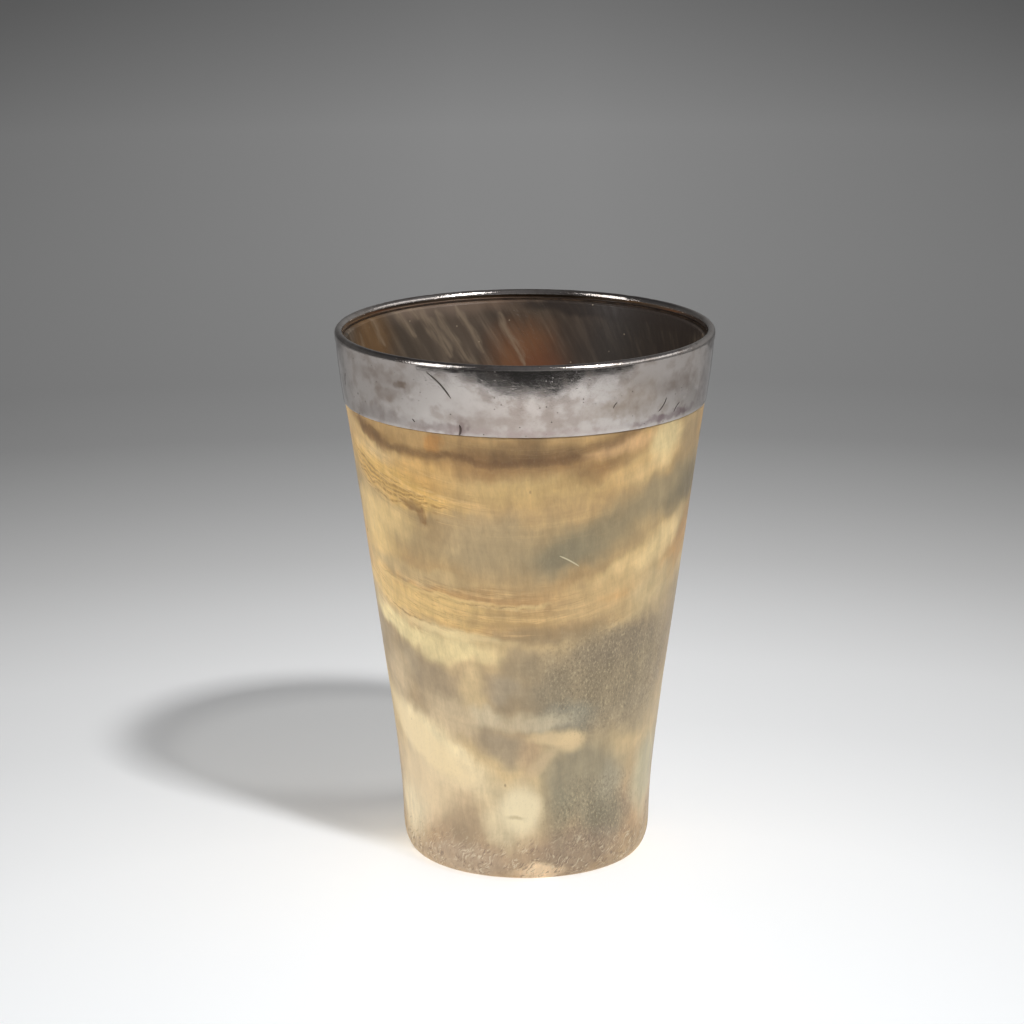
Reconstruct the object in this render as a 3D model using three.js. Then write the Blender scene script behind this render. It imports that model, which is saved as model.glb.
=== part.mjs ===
// A drinking tumbler turned from one cattle horn, with a silver mount on its mouth.
// Millimetres, +Z up. The origin is on the axis, in the plane that the foot rests on, and the front faces -Y.
import * as THREE from "three";

// Overall sizes
const OVERALL_HEIGHT = 117;
const MOUTH_RADIUS = 41; // outside of the lip
const FOOT_RADIUS = 27.1; // outside of the horn where the foot's rounding starts

// The horn's outside: upright at the foot, then a straight taper after a soft bend
const TAPER_START = 15; // height of the middle of the bend
const TAPER_EASE = 12; // larger is a longer, softer bend
const FOOT_ROUND_WIDTH = 3; // how far the foot's edge is rounded in
const FOOT_ROUND_HEIGHT = 6.9; // how far up the rounding reaches

// The horn's wall
const WALL_AT_FOOT = 4.2;
const WALL_AT_MOUTH = 1.6; // of the horn that is left under the band
const MOUTH_CHAMFER = 0.5; // on the horn's inner top edge

// Silver lip: a half-round wire, filed flat underneath and soldered on the band
const LIP_WIDTH = 1.9;
const LIP_WIRE_HEIGHT = 2.3; // before it is filed
const LIP_FILED_OFF = 0.4;
const LIP_OVERHANG = 0.2; // how far it stands out past the band

// Silver band: sheet bent to a slightly flared ring
const BAND_HEIGHT = 13.6;
const BAND_FLARE = 1.6; // its top radius less its lower radius
const SHEET_THICKNESS = 0.5;
const BAND_STEP = 0.3; // how far its lower edge stands out past the horn
const SHOULDER_GAP = 0.1; // between its lower edge and the horn's shoulder

// Cement between the silver and the horn
const CEMENT_THICKNESS = 0.3;
const FILM_CLEARANCE = 0.05; // on each side of a film
const CEMENT_LEDGE = 0.6; // how far it reaches in over the horn's top edge

// Base disc, sprung into a groove in the horn
const FLOOR_RECESS = 3; // its underside above the resting plane
const DISC_THICKNESS = 2.8;
const GROOVE_DEPTH = 0.9;
const TONGUE_TIP_HEIGHT = 0.8;
const TONGUE_ROOT_HEIGHT = 1.6;
const DISC_CLEARANCE = 0.3;

// Bead of pitch in the corner of the disc and the wall
const SEAL_LEG = 1.1; // along the disc and up the wall
const SEAL_THROAT = 0.4; // at its hollow middle

// Facets
const FACETS_ROUND = 72;
const OUTSIDE_STEPS = 9;
const INSIDE_STEPS = 7;
const FOOT_STEPS = 5;
const LIP_STEPS = 12;

// Heights that several pieces share
const lipSeatZ = OVERALL_HEIGHT - LIP_WIRE_HEIGHT + LIP_FILED_OFF;
const bandBottomZ = lipSeatZ - BAND_HEIGHT;
const shoulderZ = bandBottomZ - SHOULDER_GAP;
const hornTopZ = lipSeatZ - CEMENT_THICKNESS - 2 * FILM_CLEARANCE;
const discTopZ = FLOOR_RECESS + DISC_THICKNESS;
const discMiddleZ = FLOOR_RECESS + DISC_THICKNESS / 2;

// The band's outside is one straight cone, and the film and the horn's seat run parallel to it
const bandTopRadius = MOUTH_RADIUS - LIP_OVERHANG;
const bandLowerRadius = bandTopRadius - BAND_FLARE;
const bandRadius = (z) =>
  bandLowerRadius + (BAND_FLARE * (z - bandBottomZ)) / BAND_HEIGHT;
const cementRadius = (z) => bandRadius(z) - SHEET_THICKNESS - FILM_CLEARANCE;
const seatRadius = (z) => cementRadius(z) - CEMENT_THICKNESS - FILM_CLEARANCE;

// A ramp that is flat below TAPER_START and climbs steadily above it
const ramp = (z) => (Math.hypot(z - TAPER_START, TAPER_EASE) + z - TAPER_START) / 2;
const taper =
  (bandLowerRadius - BAND_STEP - FOOT_RADIUS) / (ramp(shoulderZ) - ramp(FOOT_ROUND_HEIGHT));
const outsideRadius = (z) => FOOT_RADIUS + taper * (ramp(z) - ramp(FOOT_ROUND_HEIGHT));

// The wall thins evenly from the disc to the mouth
const insideAtMouth = seatRadius(hornTopZ) - WALL_AT_MOUTH;
const wallAtTop = outsideRadius(hornTopZ) - insideAtMouth;
const skirtRadius = FOOT_RADIUS - WALL_AT_FOOT; // the straight stretch round the disc
const wallAtDisc = outsideRadius(discTopZ) - skirtRadius;
const insideRadius = (z) => {
  const up = (z - discTopZ) / (hornTopZ - discTopZ);
  return outsideRadius(z) - THREE.MathUtils.lerp(wallAtDisc, wallAtTop, up);
};

// The tongue on the disc, and the groove that is larger than it by the clearance all round
const discRadius = skirtRadius - DISC_CLEARANCE;
const tongueRadius = discRadius + GROOVE_DEPTH;
const grooveRadius = skirtRadius + GROOVE_DEPTH;
const tongueTip = TONGUE_TIP_HEIGHT / 2;
const tongueRoot = TONGUE_ROOT_HEIGHT / 2;
const grooveTip = tongueTip + DISC_CLEARANCE;
const grooveMouth = tongueRoot + DISC_CLEARANCE;

// Points at even steps of a curve, with both its ends
function curve(steps, pointAt) {
  return Array.from({ length: steps + 1 }, (_, i) => pointAt(i / steps));
}

// A ring or a disc: the section [radius, height] goes round the axis, which is turned to +Z
function turned(section) {
  const points = section.map(([radius, height]) => new THREE.Vector2(radius, height));
  return new THREE.LatheGeometry(points, FACETS_ROUND).rotateX(Math.PI / 2);
}

// The last point of a ring's section is its first one again
const ring = (section) => turned([...section, section[0]]);

function hornBody() {
  const footRounding = curve(FOOT_STEPS, (t) => {
    const angle = (t * Math.PI) / 2;
    return [
      FOOT_RADIUS - FOOT_ROUND_WIDTH * (1 - Math.sin(angle)),
      FOOT_ROUND_HEIGHT * (1 - Math.cos(angle)),
    ];
  });
  const outside = curve(OUTSIDE_STEPS, (t) => {
    const z = THREE.MathUtils.lerp(FOOT_ROUND_HEIGHT, shoulderZ, t);
    return [outsideRadius(z), z];
  });
  const seat = [
    [seatRadius(shoulderZ), shoulderZ],
    [seatRadius(hornTopZ), hornTopZ],
  ];
  const mouthEdge = [insideAtMouth + MOUTH_CHAMFER, hornTopZ];
  const inside = curve(INSIDE_STEPS, (t) => {
    const z = THREE.MathUtils.lerp(hornTopZ - MOUTH_CHAMFER, discTopZ, t);
    return [insideRadius(z), z];
  });
  const groove = [
    [skirtRadius, discMiddleZ + grooveMouth],
    [grooveRadius, discMiddleZ + grooveTip],
    [grooveRadius, discMiddleZ - grooveTip],
    [skirtRadius, discMiddleZ - grooveMouth],
  ];
  const restingEdge = [skirtRadius, 0];
  return ring([
    ...footRounding,
    ...outside.slice(1),
    ...seat,
    mouthEdge,
    ...inside,
    ...groove,
    restingEdge,
  ]);
}

function baseDisc() {
  return turned([
    [0, FLOOR_RECESS],
    [discRadius, FLOOR_RECESS],
    [discRadius, discMiddleZ - tongueRoot],
    [tongueRadius, discMiddleZ - tongueTip],
    [tongueRadius, discMiddleZ + tongueTip],
    [discRadius, discMiddleZ + tongueRoot],
    [discRadius, discTopZ],
    [0, discTopZ],
  ]);
}

function baseSeal() {
  const wallRadius = (z) => insideRadius(z) - FILM_CLEARANCE;
  return ring([
    [wallRadius(discTopZ) - SEAL_LEG, discTopZ],
    [wallRadius(discTopZ), discTopZ],
    [wallRadius(discTopZ + SEAL_LEG), discTopZ + SEAL_LEG],
    [wallRadius(discTopZ) - SEAL_THROAT, discTopZ + SEAL_THROAT],
  ]);
}

function bandCement() {
  const filmTopZ = lipSeatZ - FILM_CLEARANCE;
  const filmBottomZ = shoulderZ + FILM_CLEARANCE;
  const ledgeZ = hornTopZ + FILM_CLEARANCE;
  const ledgeRadius = seatRadius(hornTopZ) - CEMENT_LEDGE;
  return ring([
    [cementRadius(filmBottomZ) - CEMENT_THICKNESS, filmBottomZ],
    [cementRadius(filmBottomZ), filmBottomZ],
    [cementRadius(filmTopZ), filmTopZ],
    [ledgeRadius, filmTopZ],
    [ledgeRadius, ledgeZ],
    [cementRadius(ledgeZ) - CEMENT_THICKNESS, ledgeZ],
  ]);
}

function rimBand() {
  return ring([
    [bandLowerRadius - SHEET_THICKNESS, bandBottomZ],
    [bandLowerRadius, bandBottomZ],
    [bandTopRadius, lipSeatZ],
    [bandTopRadius - SHEET_THICKNESS, lipSeatZ],
  ]);
}

function rimLip() {
  const halfWidth = LIP_WIDTH / 2;
  const halfHeight = LIP_WIRE_HEIGHT / 2;
  const middleRadius = MOUTH_RADIUS - halfWidth;
  const middleZ = OVERALL_HEIGHT - halfHeight;
  const filedAngle = Math.asin((middleZ - lipSeatZ) / halfHeight);
  return ring(
    curve(LIP_STEPS, (t) => {
      const angle = THREE.MathUtils.lerp(-filedAngle, Math.PI + filedAngle, t);
      return [
        middleRadius + halfWidth * Math.cos(angle),
        middleZ + halfHeight * Math.sin(angle),
      ];
    }),
  );
}

const horn = { color: 0xc8aa78, roughness: 0.4, metalness: 0 };
const darkHorn = { color: 0x5a4632, roughness: 0.35, metalness: 0 };
const silver = { color: 0xb9b4ae, roughness: 0.28, metalness: 1 };
const pitch = { color: 0x2c1f14, roughness: 0.6, metalness: 0 };

const tumbler = new THREE.Group();
function add(name, geometry, finish) {
  const mesh = new THREE.Mesh(geometry, new THREE.MeshStandardMaterial(finish));
  mesh.name = name;
  tumbler.add(mesh);
}

add("horn_body", hornBody(), horn);
add("base_disc", baseDisc(), darkHorn);
add("base_seal", baseSeal(), pitch);
add("band_cement", bandCement(), pitch);
add("rim_band", rimBand(), silver);
add("rim_lip", rimLip(), silver);

export default tumbler;
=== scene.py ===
# %% [markdown]
# # A horn drinking tumbler with a silver rim
# The cup was cut and turned from one cattle horn, closed with a horn disc, and finished at the mouth with a
# silver collar and lip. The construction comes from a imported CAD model, which stays where it is. Each piece
# is made again here as a finer mesh in the same place, because a turned and worn surface needs far more
# rows and columns than a construction model, and then gets its finish.

# %% The frame
import functools
import math
from collections import namedtuple

import bpy
import numpy as np
from mathutils import Euler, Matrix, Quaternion, Vector


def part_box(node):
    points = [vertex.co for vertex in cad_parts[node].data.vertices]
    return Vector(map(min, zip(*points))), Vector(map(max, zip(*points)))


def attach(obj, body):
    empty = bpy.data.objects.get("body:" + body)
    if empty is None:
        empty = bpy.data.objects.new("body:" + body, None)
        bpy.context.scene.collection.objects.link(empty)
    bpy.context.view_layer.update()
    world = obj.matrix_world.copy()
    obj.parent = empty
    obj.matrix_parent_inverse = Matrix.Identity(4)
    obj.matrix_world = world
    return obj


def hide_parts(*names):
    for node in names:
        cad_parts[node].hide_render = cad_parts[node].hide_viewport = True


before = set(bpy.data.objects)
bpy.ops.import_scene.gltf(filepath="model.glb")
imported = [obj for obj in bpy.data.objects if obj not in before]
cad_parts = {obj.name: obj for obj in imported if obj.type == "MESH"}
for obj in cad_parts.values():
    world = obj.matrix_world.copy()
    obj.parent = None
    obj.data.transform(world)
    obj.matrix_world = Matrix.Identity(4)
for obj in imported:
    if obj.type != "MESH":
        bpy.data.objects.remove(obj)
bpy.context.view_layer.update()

MM = 0.001

# %% [markdown]
# ## Camera
# The cup is seen with a long lens from a little above its mouth. The lens, the place and the small roll
# were found by fitting the outline of the cup, so that both ellipses of the rim and the foot come out
# right.

# %% Camera
CAMERA_PLACE = Vector((-2.9, -807.7, 286.6)) * MM
CAMERA_LENS = 134.775
CAMERA_PITCH = math.radians(14.642)
CAMERA_ROLL = math.radians(-0.214)


def add_to_scene(name, data):
    """A new object in the scene that is turned by a quaternion."""
    made = bpy.data.objects.new(name, data)
    bpy.context.scene.collection.objects.link(made)
    made.rotation_mode = "QUATERNION"
    return made


camera = add_to_scene("camera", bpy.data.cameras.new("camera"))
camera.data.sensor_width = 36
camera.data.lens = CAMERA_LENS
level_look = Euler((math.radians(90) - CAMERA_PITCH, 0, 0)).to_quaternion()
camera.rotation_quaternion = level_look @ Quaternion((0, 0, 1), CAMERA_ROLL)
camera.location = CAMERA_PLACE
bpy.context.scene.camera = camera
print("camera distance in mm:", round(CAMERA_PLACE.length / MM))

# %% [markdown]
# ## Sizes
# What the CAD boxes say is read from them. The rest, such as the slope of the wall and the thickness of the
# sheet, can't be read from a box and is named here once.

# %% Sizes from the frame
horn_low, horn_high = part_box("horn_body")
disc_low, disc_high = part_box("base_disc")
band_low, band_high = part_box("rim_band")
lip_low, lip_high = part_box("rim_lip")

mouth_radius = lip_high.x
rim_height = lip_high.z
lip_seat = lip_low.z
band_foot = band_low.z
band_top_radius = band_high.x
horn_top = horn_high.z
disc_under = disc_low.z
disc_top = disc_high.z
tongue_radius = disc_high.x
print("mouth radius and height in mm:", round(mouth_radius / MM, 2), round(rim_height / MM, 2))

# %% Sizes that the boxes don't show
FOOT_RADIUS = 27.1 * MM
TAPER_START = 15 * MM
TAPER_EASE = 12 * MM
FOOT_ROUND_WIDTH = 3 * MM
FOOT_ROUND_HEIGHT = 6.9 * MM
WALL_AT_FOOT = 4.2 * MM
WALL_AT_MOUTH = 1.6 * MM
MOUTH_CHAMFER = 0.5 * MM
BAND_FLARE = 1.6 * MM
BAND_STEP = 0.3 * MM
SHEET_THICKNESS = 0.5 * MM
SHOULDER_GAP = 0.1 * MM
CEMENT_THICKNESS = 0.3 * MM
CEMENT_LEDGE = 0.6 * MM
FILM_CLEARANCE = 0.05 * MM
GROOVE_DEPTH = 0.9 * MM
TONGUE_TIP = 0.8 * MM
TONGUE_ROOT = 1.6 * MM
DISC_CLEARANCE = 0.3 * MM
SEAL_LEG = 1.1 * MM
SEAL_THROAT = 0.4 * MM
LIP_WIDTH = 1.9 * MM
LIP_WIRE_HEIGHT = 2.3 * MM

shoulder = band_foot - SHOULDER_GAP
shoulder_radius = band_top_radius - BAND_FLARE - BAND_STEP
disc_middle = (disc_under + disc_top) / 2
skirt_radius = FOOT_RADIUS - WALL_AT_FOOT
disc_radius = tongue_radius - GROOVE_DEPTH


# %% The lines that several pieces share
def climb(height):
    """Flat below the bend of the wall, then a steady climb."""
    up = height - TAPER_START
    return (math.hypot(up, TAPER_EASE) + up) / 2


taper = (shoulder_radius - FOOT_RADIUS) / (climb(shoulder) - climb(FOOT_ROUND_HEIGHT))


def outside_radius(height):
    return FOOT_RADIUS + taper * (climb(height) - climb(FOOT_ROUND_HEIGHT))


def band_share(height):
    """0 at the lower edge of the collar and 1 at its top."""
    return (height - band_foot) / (lip_seat - band_foot)


def band_radius(height):
    return band_top_radius - BAND_FLARE * (1 - band_share(height))


def cement_radius(height):
    return band_radius(height) - SHEET_THICKNESS - FILM_CLEARANCE


def seat_radius(height):
    return cement_radius(height) - CEMENT_THICKNESS - FILM_CLEARANCE


inside_at_mouth = seat_radius(horn_top) - WALL_AT_MOUTH
wall_at_top = outside_radius(horn_top) - inside_at_mouth
wall_at_disc = outside_radius(disc_top) - skirt_radius


def inside_radius(height):
    share = (height - disc_top) / (horn_top - disc_top)
    return outside_radius(height) - wall_at_disc - (wall_at_top - wall_at_disc) * share


print("taper:", round(taper, 4), " inside at the mouth in mm:", round(inside_at_mouth / MM, 2))

# %% [markdown]
# ## How a turned piece is made
# Everything on this cup is round about one axis, so each piece is made as a turner thinks of it: the
# section is drawn, and the section is then carried round. A plane is gathered into one corner, and the
# corner is extruded along the section point by point. Spin could carry it round, but it slows down badly
# over hundreds of steps, so a Screw modifier without any rise does it. It also merges the last copy with
# the first. The normals are made consistent after that, because a section that is drawn the other way round
# gives a piece that is inside out.

# %% Drawing a section and carrying it round
SMOOTH_BELOW = math.radians(38)
MERGE_WITHIN = MM / 1000
QUARTER = math.pi / 2


def begin_with_nothing_selected():
    if bpy.context.mode != "OBJECT":
        bpy.ops.object.mode_set(mode="OBJECT")
    bpy.ops.object.select_all(action="DESELECT")


def along(steps, start, end):
    """Values from start to end in even steps, with both ends."""
    return [start + (end - start) * i / steps for i in range(steps + 1)]


def arc(steps, radius, height, wide, tall, start, end):
    """Points of an oval round (radius, height), from one turn to another."""
    turns = along(steps, start, end)
    return [(radius + wide * math.cos(turn), height + tall * math.sin(turn)) for turn in turns]


def turned_piece(name, section, columns, closed=True):
    """A ring or a disc whose section is a list of (radius, height)."""
    begin_with_nothing_selected()
    bpy.ops.mesh.primitive_plane_add(size=MM)
    piece = bpy.context.object
    piece.name = name
    piece.data.name = name
    corners = [Vector((radius, 0, height)) for radius, height in section]
    if closed:
        corners.append(corners[0].copy())
    bpy.ops.object.mode_set(mode="EDIT")
    bpy.ops.mesh.select_mode(type="VERT")
    bpy.ops.mesh.select_all(action="SELECT")
    bpy.ops.mesh.merge(type="CENTER")
    bpy.ops.transform.translate(value=corners[0])
    for here, there in zip(corners, corners[1:]):
        bpy.ops.mesh.extrude_vertices_move(TRANSFORM_OT_translate={"value": there - here})
    bpy.ops.mesh.select_all(action="SELECT")
    bpy.ops.mesh.remove_doubles(threshold=MERGE_WITHIN)
    bpy.ops.object.mode_set(mode="OBJECT")
    turn = piece.modifiers.new("turn", "SCREW")
    turn.axis = "Z"
    turn.angle = math.tau
    turn.steps = columns
    turn.render_steps = columns
    turn.use_merge_vertices = True
    turn.merge_threshold = MERGE_WITHIN
    bpy.ops.object.modifier_apply(modifier="turn")
    bpy.ops.object.mode_set(mode="EDIT")
    bpy.ops.mesh.select_all(action="SELECT")
    bpy.ops.mesh.remove_doubles(threshold=MERGE_WITHIN)
    bpy.ops.mesh.normals_make_consistent(inside=False)
    bpy.ops.object.mode_set(mode="OBJECT")
    bpy.ops.object.shade_smooth_by_angle(angle=SMOOTH_BELOW)
    print(name, "has", len(piece.data.polygons), "faces")
    return piece


# %% Surface helpers
LEAST_WEIGHT = 0.001


def corner_places(piece):
    """The piece's corners as an array of x, y and z."""
    places = np.empty(len(piece.data.vertices) * 3)
    piece.data.vertices.foreach_get("co", places)
    return places.reshape(-1, 3)


def place_corners(piece, places):
    piece.data.vertices.foreach_set("co", places.ravel())
    piece.data.update()


def round_places(places):
    """Radius, angle in degrees from the front and height of each corner."""
    radius = np.hypot(places[:, 0], places[:, 1])
    angle = np.degrees(np.arctan2(places[:, 0], -places[:, 1]))
    return radius, angle, places[:, 2]


def arc_between(angle, other, radius):
    """How far it is round the surface from one angle in degrees to another, by the shorter way."""
    return np.radians((angle - other + 180) % 360 - 180) * radius


def bell(*shares):
    """1 in the middle, and falling off softly as the shares of the reach grow."""
    return np.exp(-sum(share * share for share in shares))


def soft_step(low, high, value):
    share = np.clip((value - low) / (high - low), 0, 1)
    return share * share * (3 - 2 * share)


def roughen(piece, name, size, depth, weights):
    """Lifts and lowers a surface by a procedural texture, less so where the weight of a corner is low."""
    group = piece.vertex_groups.new(name=name)
    corners = np.flatnonzero(weights > LEAST_WEIGHT)
    for index in corners:
        group.add([int(index)], float(weights[index]), "REPLACE")
    texture = bpy.data.textures.new(name, "CLOUDS")
    texture.noise_scale = size
    begin_with_nothing_selected()
    bpy.context.view_layer.objects.active = piece
    piece.select_set(True)
    lift = piece.modifiers.new(name, "DISPLACE")
    lift.texture = texture
    lift.texture_coords = "LOCAL"
    lift.strength = depth
    lift.mid_level = 0.5
    lift.vertex_group = group.name
    bpy.ops.object.modifier_apply(modifier=name)
    print(f"{piece.name}: {name} at {len(corners)} corners")


def stands_for(piece, node):
    """The piece takes its CAD node's place in the row."""
    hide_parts(node)
    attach(piece, "root")


# %% [markdown]
# ## Horn body
# A piece of horn is sawn off, warmed and pressed round, then turned outside and scraped inside. The wall is
# thick at the foot and thin under the silver, the foot is rounded, and a shoulder and a seat are turned
# down for the collar. It could be a cylinder with a taper, but the bend above the foot and the thin mouth
# edge are what the eye reads, so the whole section is drawn, with close rows outside for the unevenness of
# real horn.

# %% Horn body
HORN_COLUMNS = 320
OUTSIDE_ROWS = 140
INSIDE_ROWS = 96
FOOT_ROWS = 26
SEAT_ROWS = 6
EDGE_ROWS = 5
EDGE_ROUND = 0.15 * MM


def horn_section():
    foot_middle = FOOT_RADIUS - FOOT_ROUND_WIDTH
    foot = arc(FOOT_ROWS, foot_middle, FOOT_ROUND_HEIGHT, FOOT_ROUND_WIDTH, FOOT_ROUND_HEIGHT, -QUARTER, 0)
    wall_top = shoulder - EDGE_ROUND
    wall = [(outside_radius(z), z) for z in along(OUTSIDE_ROWS, FOOT_ROUND_HEIGHT, wall_top)]
    ledge = arc(EDGE_ROWS, shoulder_radius - EDGE_ROUND, wall_top, EDGE_ROUND, EDGE_ROUND, 0, QUARTER)
    seat = [(seat_radius(z), z) for z in along(SEAT_ROWS, shoulder, horn_top)]
    mouth = horn_top - MOUTH_CHAMFER
    mouth_middle = inside_at_mouth + MOUTH_CHAMFER
    chamfer = arc(EDGE_ROWS, mouth_middle, mouth, MOUTH_CHAMFER, MOUTH_CHAMFER, QUARTER, math.pi)
    inside = [(inside_radius(z), z) for z in along(INSIDE_ROWS, mouth, disc_top)]
    groove_radius = skirt_radius + GROOVE_DEPTH
    groove_tip = TONGUE_TIP / 2 + DISC_CLEARANCE
    groove_mouth = TONGUE_ROOT / 2 + DISC_CLEARANCE
    groove = [
        (skirt_radius, disc_middle + groove_mouth),
        (groove_radius, disc_middle + groove_tip),
        (groove_radius, disc_middle - groove_tip),
        (skirt_radius, disc_middle - groove_mouth),
    ]
    skirt_edge = [(skirt_radius, EDGE_ROUND), (skirt_radius + EDGE_ROUND, 0)]
    return foot + wall[1:] + ledge[1:] + seat + chamfer + inside[1:] + groove + skirt_edge


horn = turned_piece("horn", horn_section(), HORN_COLUMNS)

# %% [markdown]
# Horn moves as it dries, and a hand scraper leaves it a little uneven. Two gentle displacements do this:
# long swells over the whole wall, and short chatter near the foot, where the tool ran across the grain.
# They are held back where the horn seats in the silver and where it holds the disc.

# %% Unevenness of the horn
SWELL_SIZE = 26 * MM
SWELL_DEPTH = 0.34 * MM
CHATTER_SIZE = 1.7 * MM
CHATTER_DEPTH = 0.13 * MM
CHATTER_TOP = 11 * MM
CHATTER_FULL = 3 * MM
CHATTER_FOOT = 0.2 * MM
HOLD_BACK = 5 * MM

radius, _, height = round_places(corner_places(horn))
middle_of_wall = np.array([(outside_radius(z) + inside_radius(max(z, disc_top))) / 2 for z in height])
is_outside = radius > middle_of_wall
below_silver = soft_step(shoulder, shoulder - HOLD_BACK, height)
above_floor = soft_step(0, HOLD_BACK, height)
above_disc = soft_step(disc_top + MM, disc_top + HOLD_BACK, height)
chatter = soft_step(CHATTER_TOP, CHATTER_FULL, height) * soft_step(CHATTER_FOOT, MM, height)
swell = below_silver * np.where(is_outside, above_floor, above_disc)
roughen(horn, "swells", SWELL_SIZE, SWELL_DEPTH, swell)
roughen(horn, "chatter", CHATTER_SIZE, CHATTER_DEPTH, is_outside * chatter)
stands_for(horn, "horn_body")

# %% [markdown]
# ## Base disc
# A flat disc of darker horn is turned with a tongue round its edge and sprung into the groove. The lathe
# leaves fine rings on it and a small pip at the centre. They are real ridges here: the section's two flat
# sides are drawn with a shallow wave instead of a straight line.

# %% Base disc
DISC_COLUMNS = 256
RING_PITCH = 1.3 * MM
RING_DEPTH = 0.025 * MM
PIP_RADIUS = 1.1 * MM
PIP_DEPTH = 0.5 * MM
DISC_ROWS = 76


def ridge(radius):
    """How far the tool's rings and the centre pip sink the surface at this radius."""
    rings = RING_DEPTH * (1 - math.cos(math.tau * radius / RING_PITCH)) / 2
    pip = PIP_DEPTH * max(0, 1 - radius / PIP_RADIUS)
    return rings + pip


def disc_section():
    edge = disc_radius - EDGE_ROUND
    under = [(r, disc_under + ridge(r)) for r in along(DISC_ROWS, 0, edge)]
    rim = [
        (disc_radius, disc_under + EDGE_ROUND),
        (disc_radius, disc_middle - TONGUE_ROOT / 2),
        (tongue_radius, disc_middle - TONGUE_TIP / 2),
        (tongue_radius, disc_middle + TONGUE_TIP / 2),
        (disc_radius, disc_middle + TONGUE_ROOT / 2),
        (disc_radius, disc_top - EDGE_ROUND),
    ]
    over = [(r, disc_top - ridge(r)) for r in along(DISC_ROWS, edge, 0)]
    return under + rim + over


disc = turned_piece("disc", disc_section(), DISC_COLUMNS, closed=False)
stands_for(disc, "base_disc")

# %% [markdown]
# ## Pitch bead
# Pitch run warm into the corner of floor and wall makes the cup hold liquid. It creeps up the wall and out
# over the floor, so its face is hollow, and it never runs quite evenly.

# %% Pitch bead
SEAL_COLUMNS = 256
SEAL_ROWS = 10
RUN_SIZE = 3 * MM
RUN_DEPTH = 0.12 * MM


def seal_section():
    wall = inside_radius(disc_top) - FILM_CLEARANCE
    top_radius = inside_radius(disc_top + SEAL_LEG) - FILM_CLEARANCE
    toe = Vector((wall - SEAL_LEG, disc_top))
    throat = Vector((wall - SEAL_THROAT, disc_top + SEAL_THROAT))
    head = Vector((top_radius, disc_top + SEAL_LEG))
    face = []
    for share in along(SEAL_ROWS, 0, 1):
        toe_part = toe * (1 - share) ** 2
        throat_part = throat * 2 * share * (1 - share)
        face.append(tuple(toe_part + throat_part + head * share**2))
    return [(wall, disc_top)] + face[::-1]


seal = turned_piece("pitch_bead", seal_section(), SEAL_COLUMNS)
radius, _, height = round_places(corner_places(seal))
free_face = (radius < inside_radius(disc_top) - 2 * FILM_CLEARANCE) & (height > disc_top + FILM_CLEARANCE)
roughen(seal, "run", RUN_SIZE, RUN_DEPTH, free_face)
stands_for(seal, "base_seal")

# %% [markdown]
# ## Cement film
# The silver is bedded on the horn in a thin dark cement, which shows only as a line between the mouth edge
# of the horn and the underside of the lip. Its inner edge is where the surplus was scraped off by hand.

# %% Cement film
CEMENT_COLUMNS = 256
OUTER_ROWS = 6
BACK_ROWS = 5
LEDGE_ROWS = 2
SCRAPE_SIZE = 1.5 * MM
SCRAPE_DEPTH = 0.16 * MM
SCRAPED_SHARE = 0.9


def cement_section():
    film_top = lip_seat - FILM_CLEARANCE
    film_foot = shoulder + FILM_CLEARANCE
    ledge = horn_top + FILM_CLEARANCE
    ledge_radius = seat_radius(horn_top) - CEMENT_LEDGE
    inner = [(ledge_radius, z) for z in along(LEDGE_ROWS, film_top, ledge)]
    outer = [(cement_radius(z), z) for z in along(OUTER_ROWS, film_foot, film_top)]
    back = [(cement_radius(z) - CEMENT_THICKNESS, z) for z in along(BACK_ROWS, ledge, film_foot)]
    return outer + inner + back


cement = turned_piece("cement", cement_section(), CEMENT_COLUMNS)
radius, _, _ = round_places(corner_places(cement))
inner_edge = radius < seat_radius(horn_top) - CEMENT_LEDGE * SCRAPED_SHARE
roughen(cement, "scraped", SCRAPE_SIZE, SCRAPE_DEPTH, inner_edge)
stands_for(cement, "band_cement")

# %% [markdown]
# ## Silver collar
# A strip of sheet silver is bent round, soldered into a hoop and stretched a little wider at the top. It
# bulges very slightly at half its height, as rolled sheet does when it is drawn over a form, and this bulge
# gathers what the collar reflects. Worn silver shows its age in how it reflects: the sheet is a little out
# of true everywhere, and knocks have left small hollows. A bump map would only shade those, so the collar
# has close rows and columns, and the waves, the knocks, the seam and the tear in its lower edge are moved
# into the mesh.

# %% Silver collar
BAND_COLUMNS = 720
BAND_ROWS = 46
BAND_EDGE_ROWS = 4
BAND_INNER_ROWS = 5
BAND_EDGE = 0.2 * MM
BARREL = 0.13 * MM


def barrel(height):
    """How far the sheet bulges, most at half its height."""
    share = band_share(height)
    return BARREL * 4 * share * (1 - share)


def band_section():
    edge_top = band_foot + BAND_EDGE
    edge_middle = band_radius(band_foot) - BAND_EDGE
    low_outer = arc(BAND_EDGE_ROWS, edge_middle, edge_top, BAND_EDGE, BAND_EDGE, -QUARTER, 0)
    outer = [(band_radius(z) + barrel(z), z) for z in along(BAND_ROWS, edge_top, lip_seat)]
    inner = [(band_radius(z) - SHEET_THICKNESS, z) for z in along(BAND_INNER_ROWS, lip_seat, edge_top)]
    low_inner = (band_radius(band_foot) - SHEET_THICKNESS + BAND_EDGE, band_foot)
    return low_outer + outer[1:] + inner + [low_inner]


collar = turned_piece("collar", band_section(), BAND_COLUMNS)

# %% Waves of the sheet
WAVE_SIZE = 17 * MM
WAVE_DEPTH = 0.045 * MM
RIPPLE_SIZE = 5 * MM
RIPPLE_DEPTH = 0.012 * MM
STILL_UNDER_LIP = 2 * MM

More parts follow.
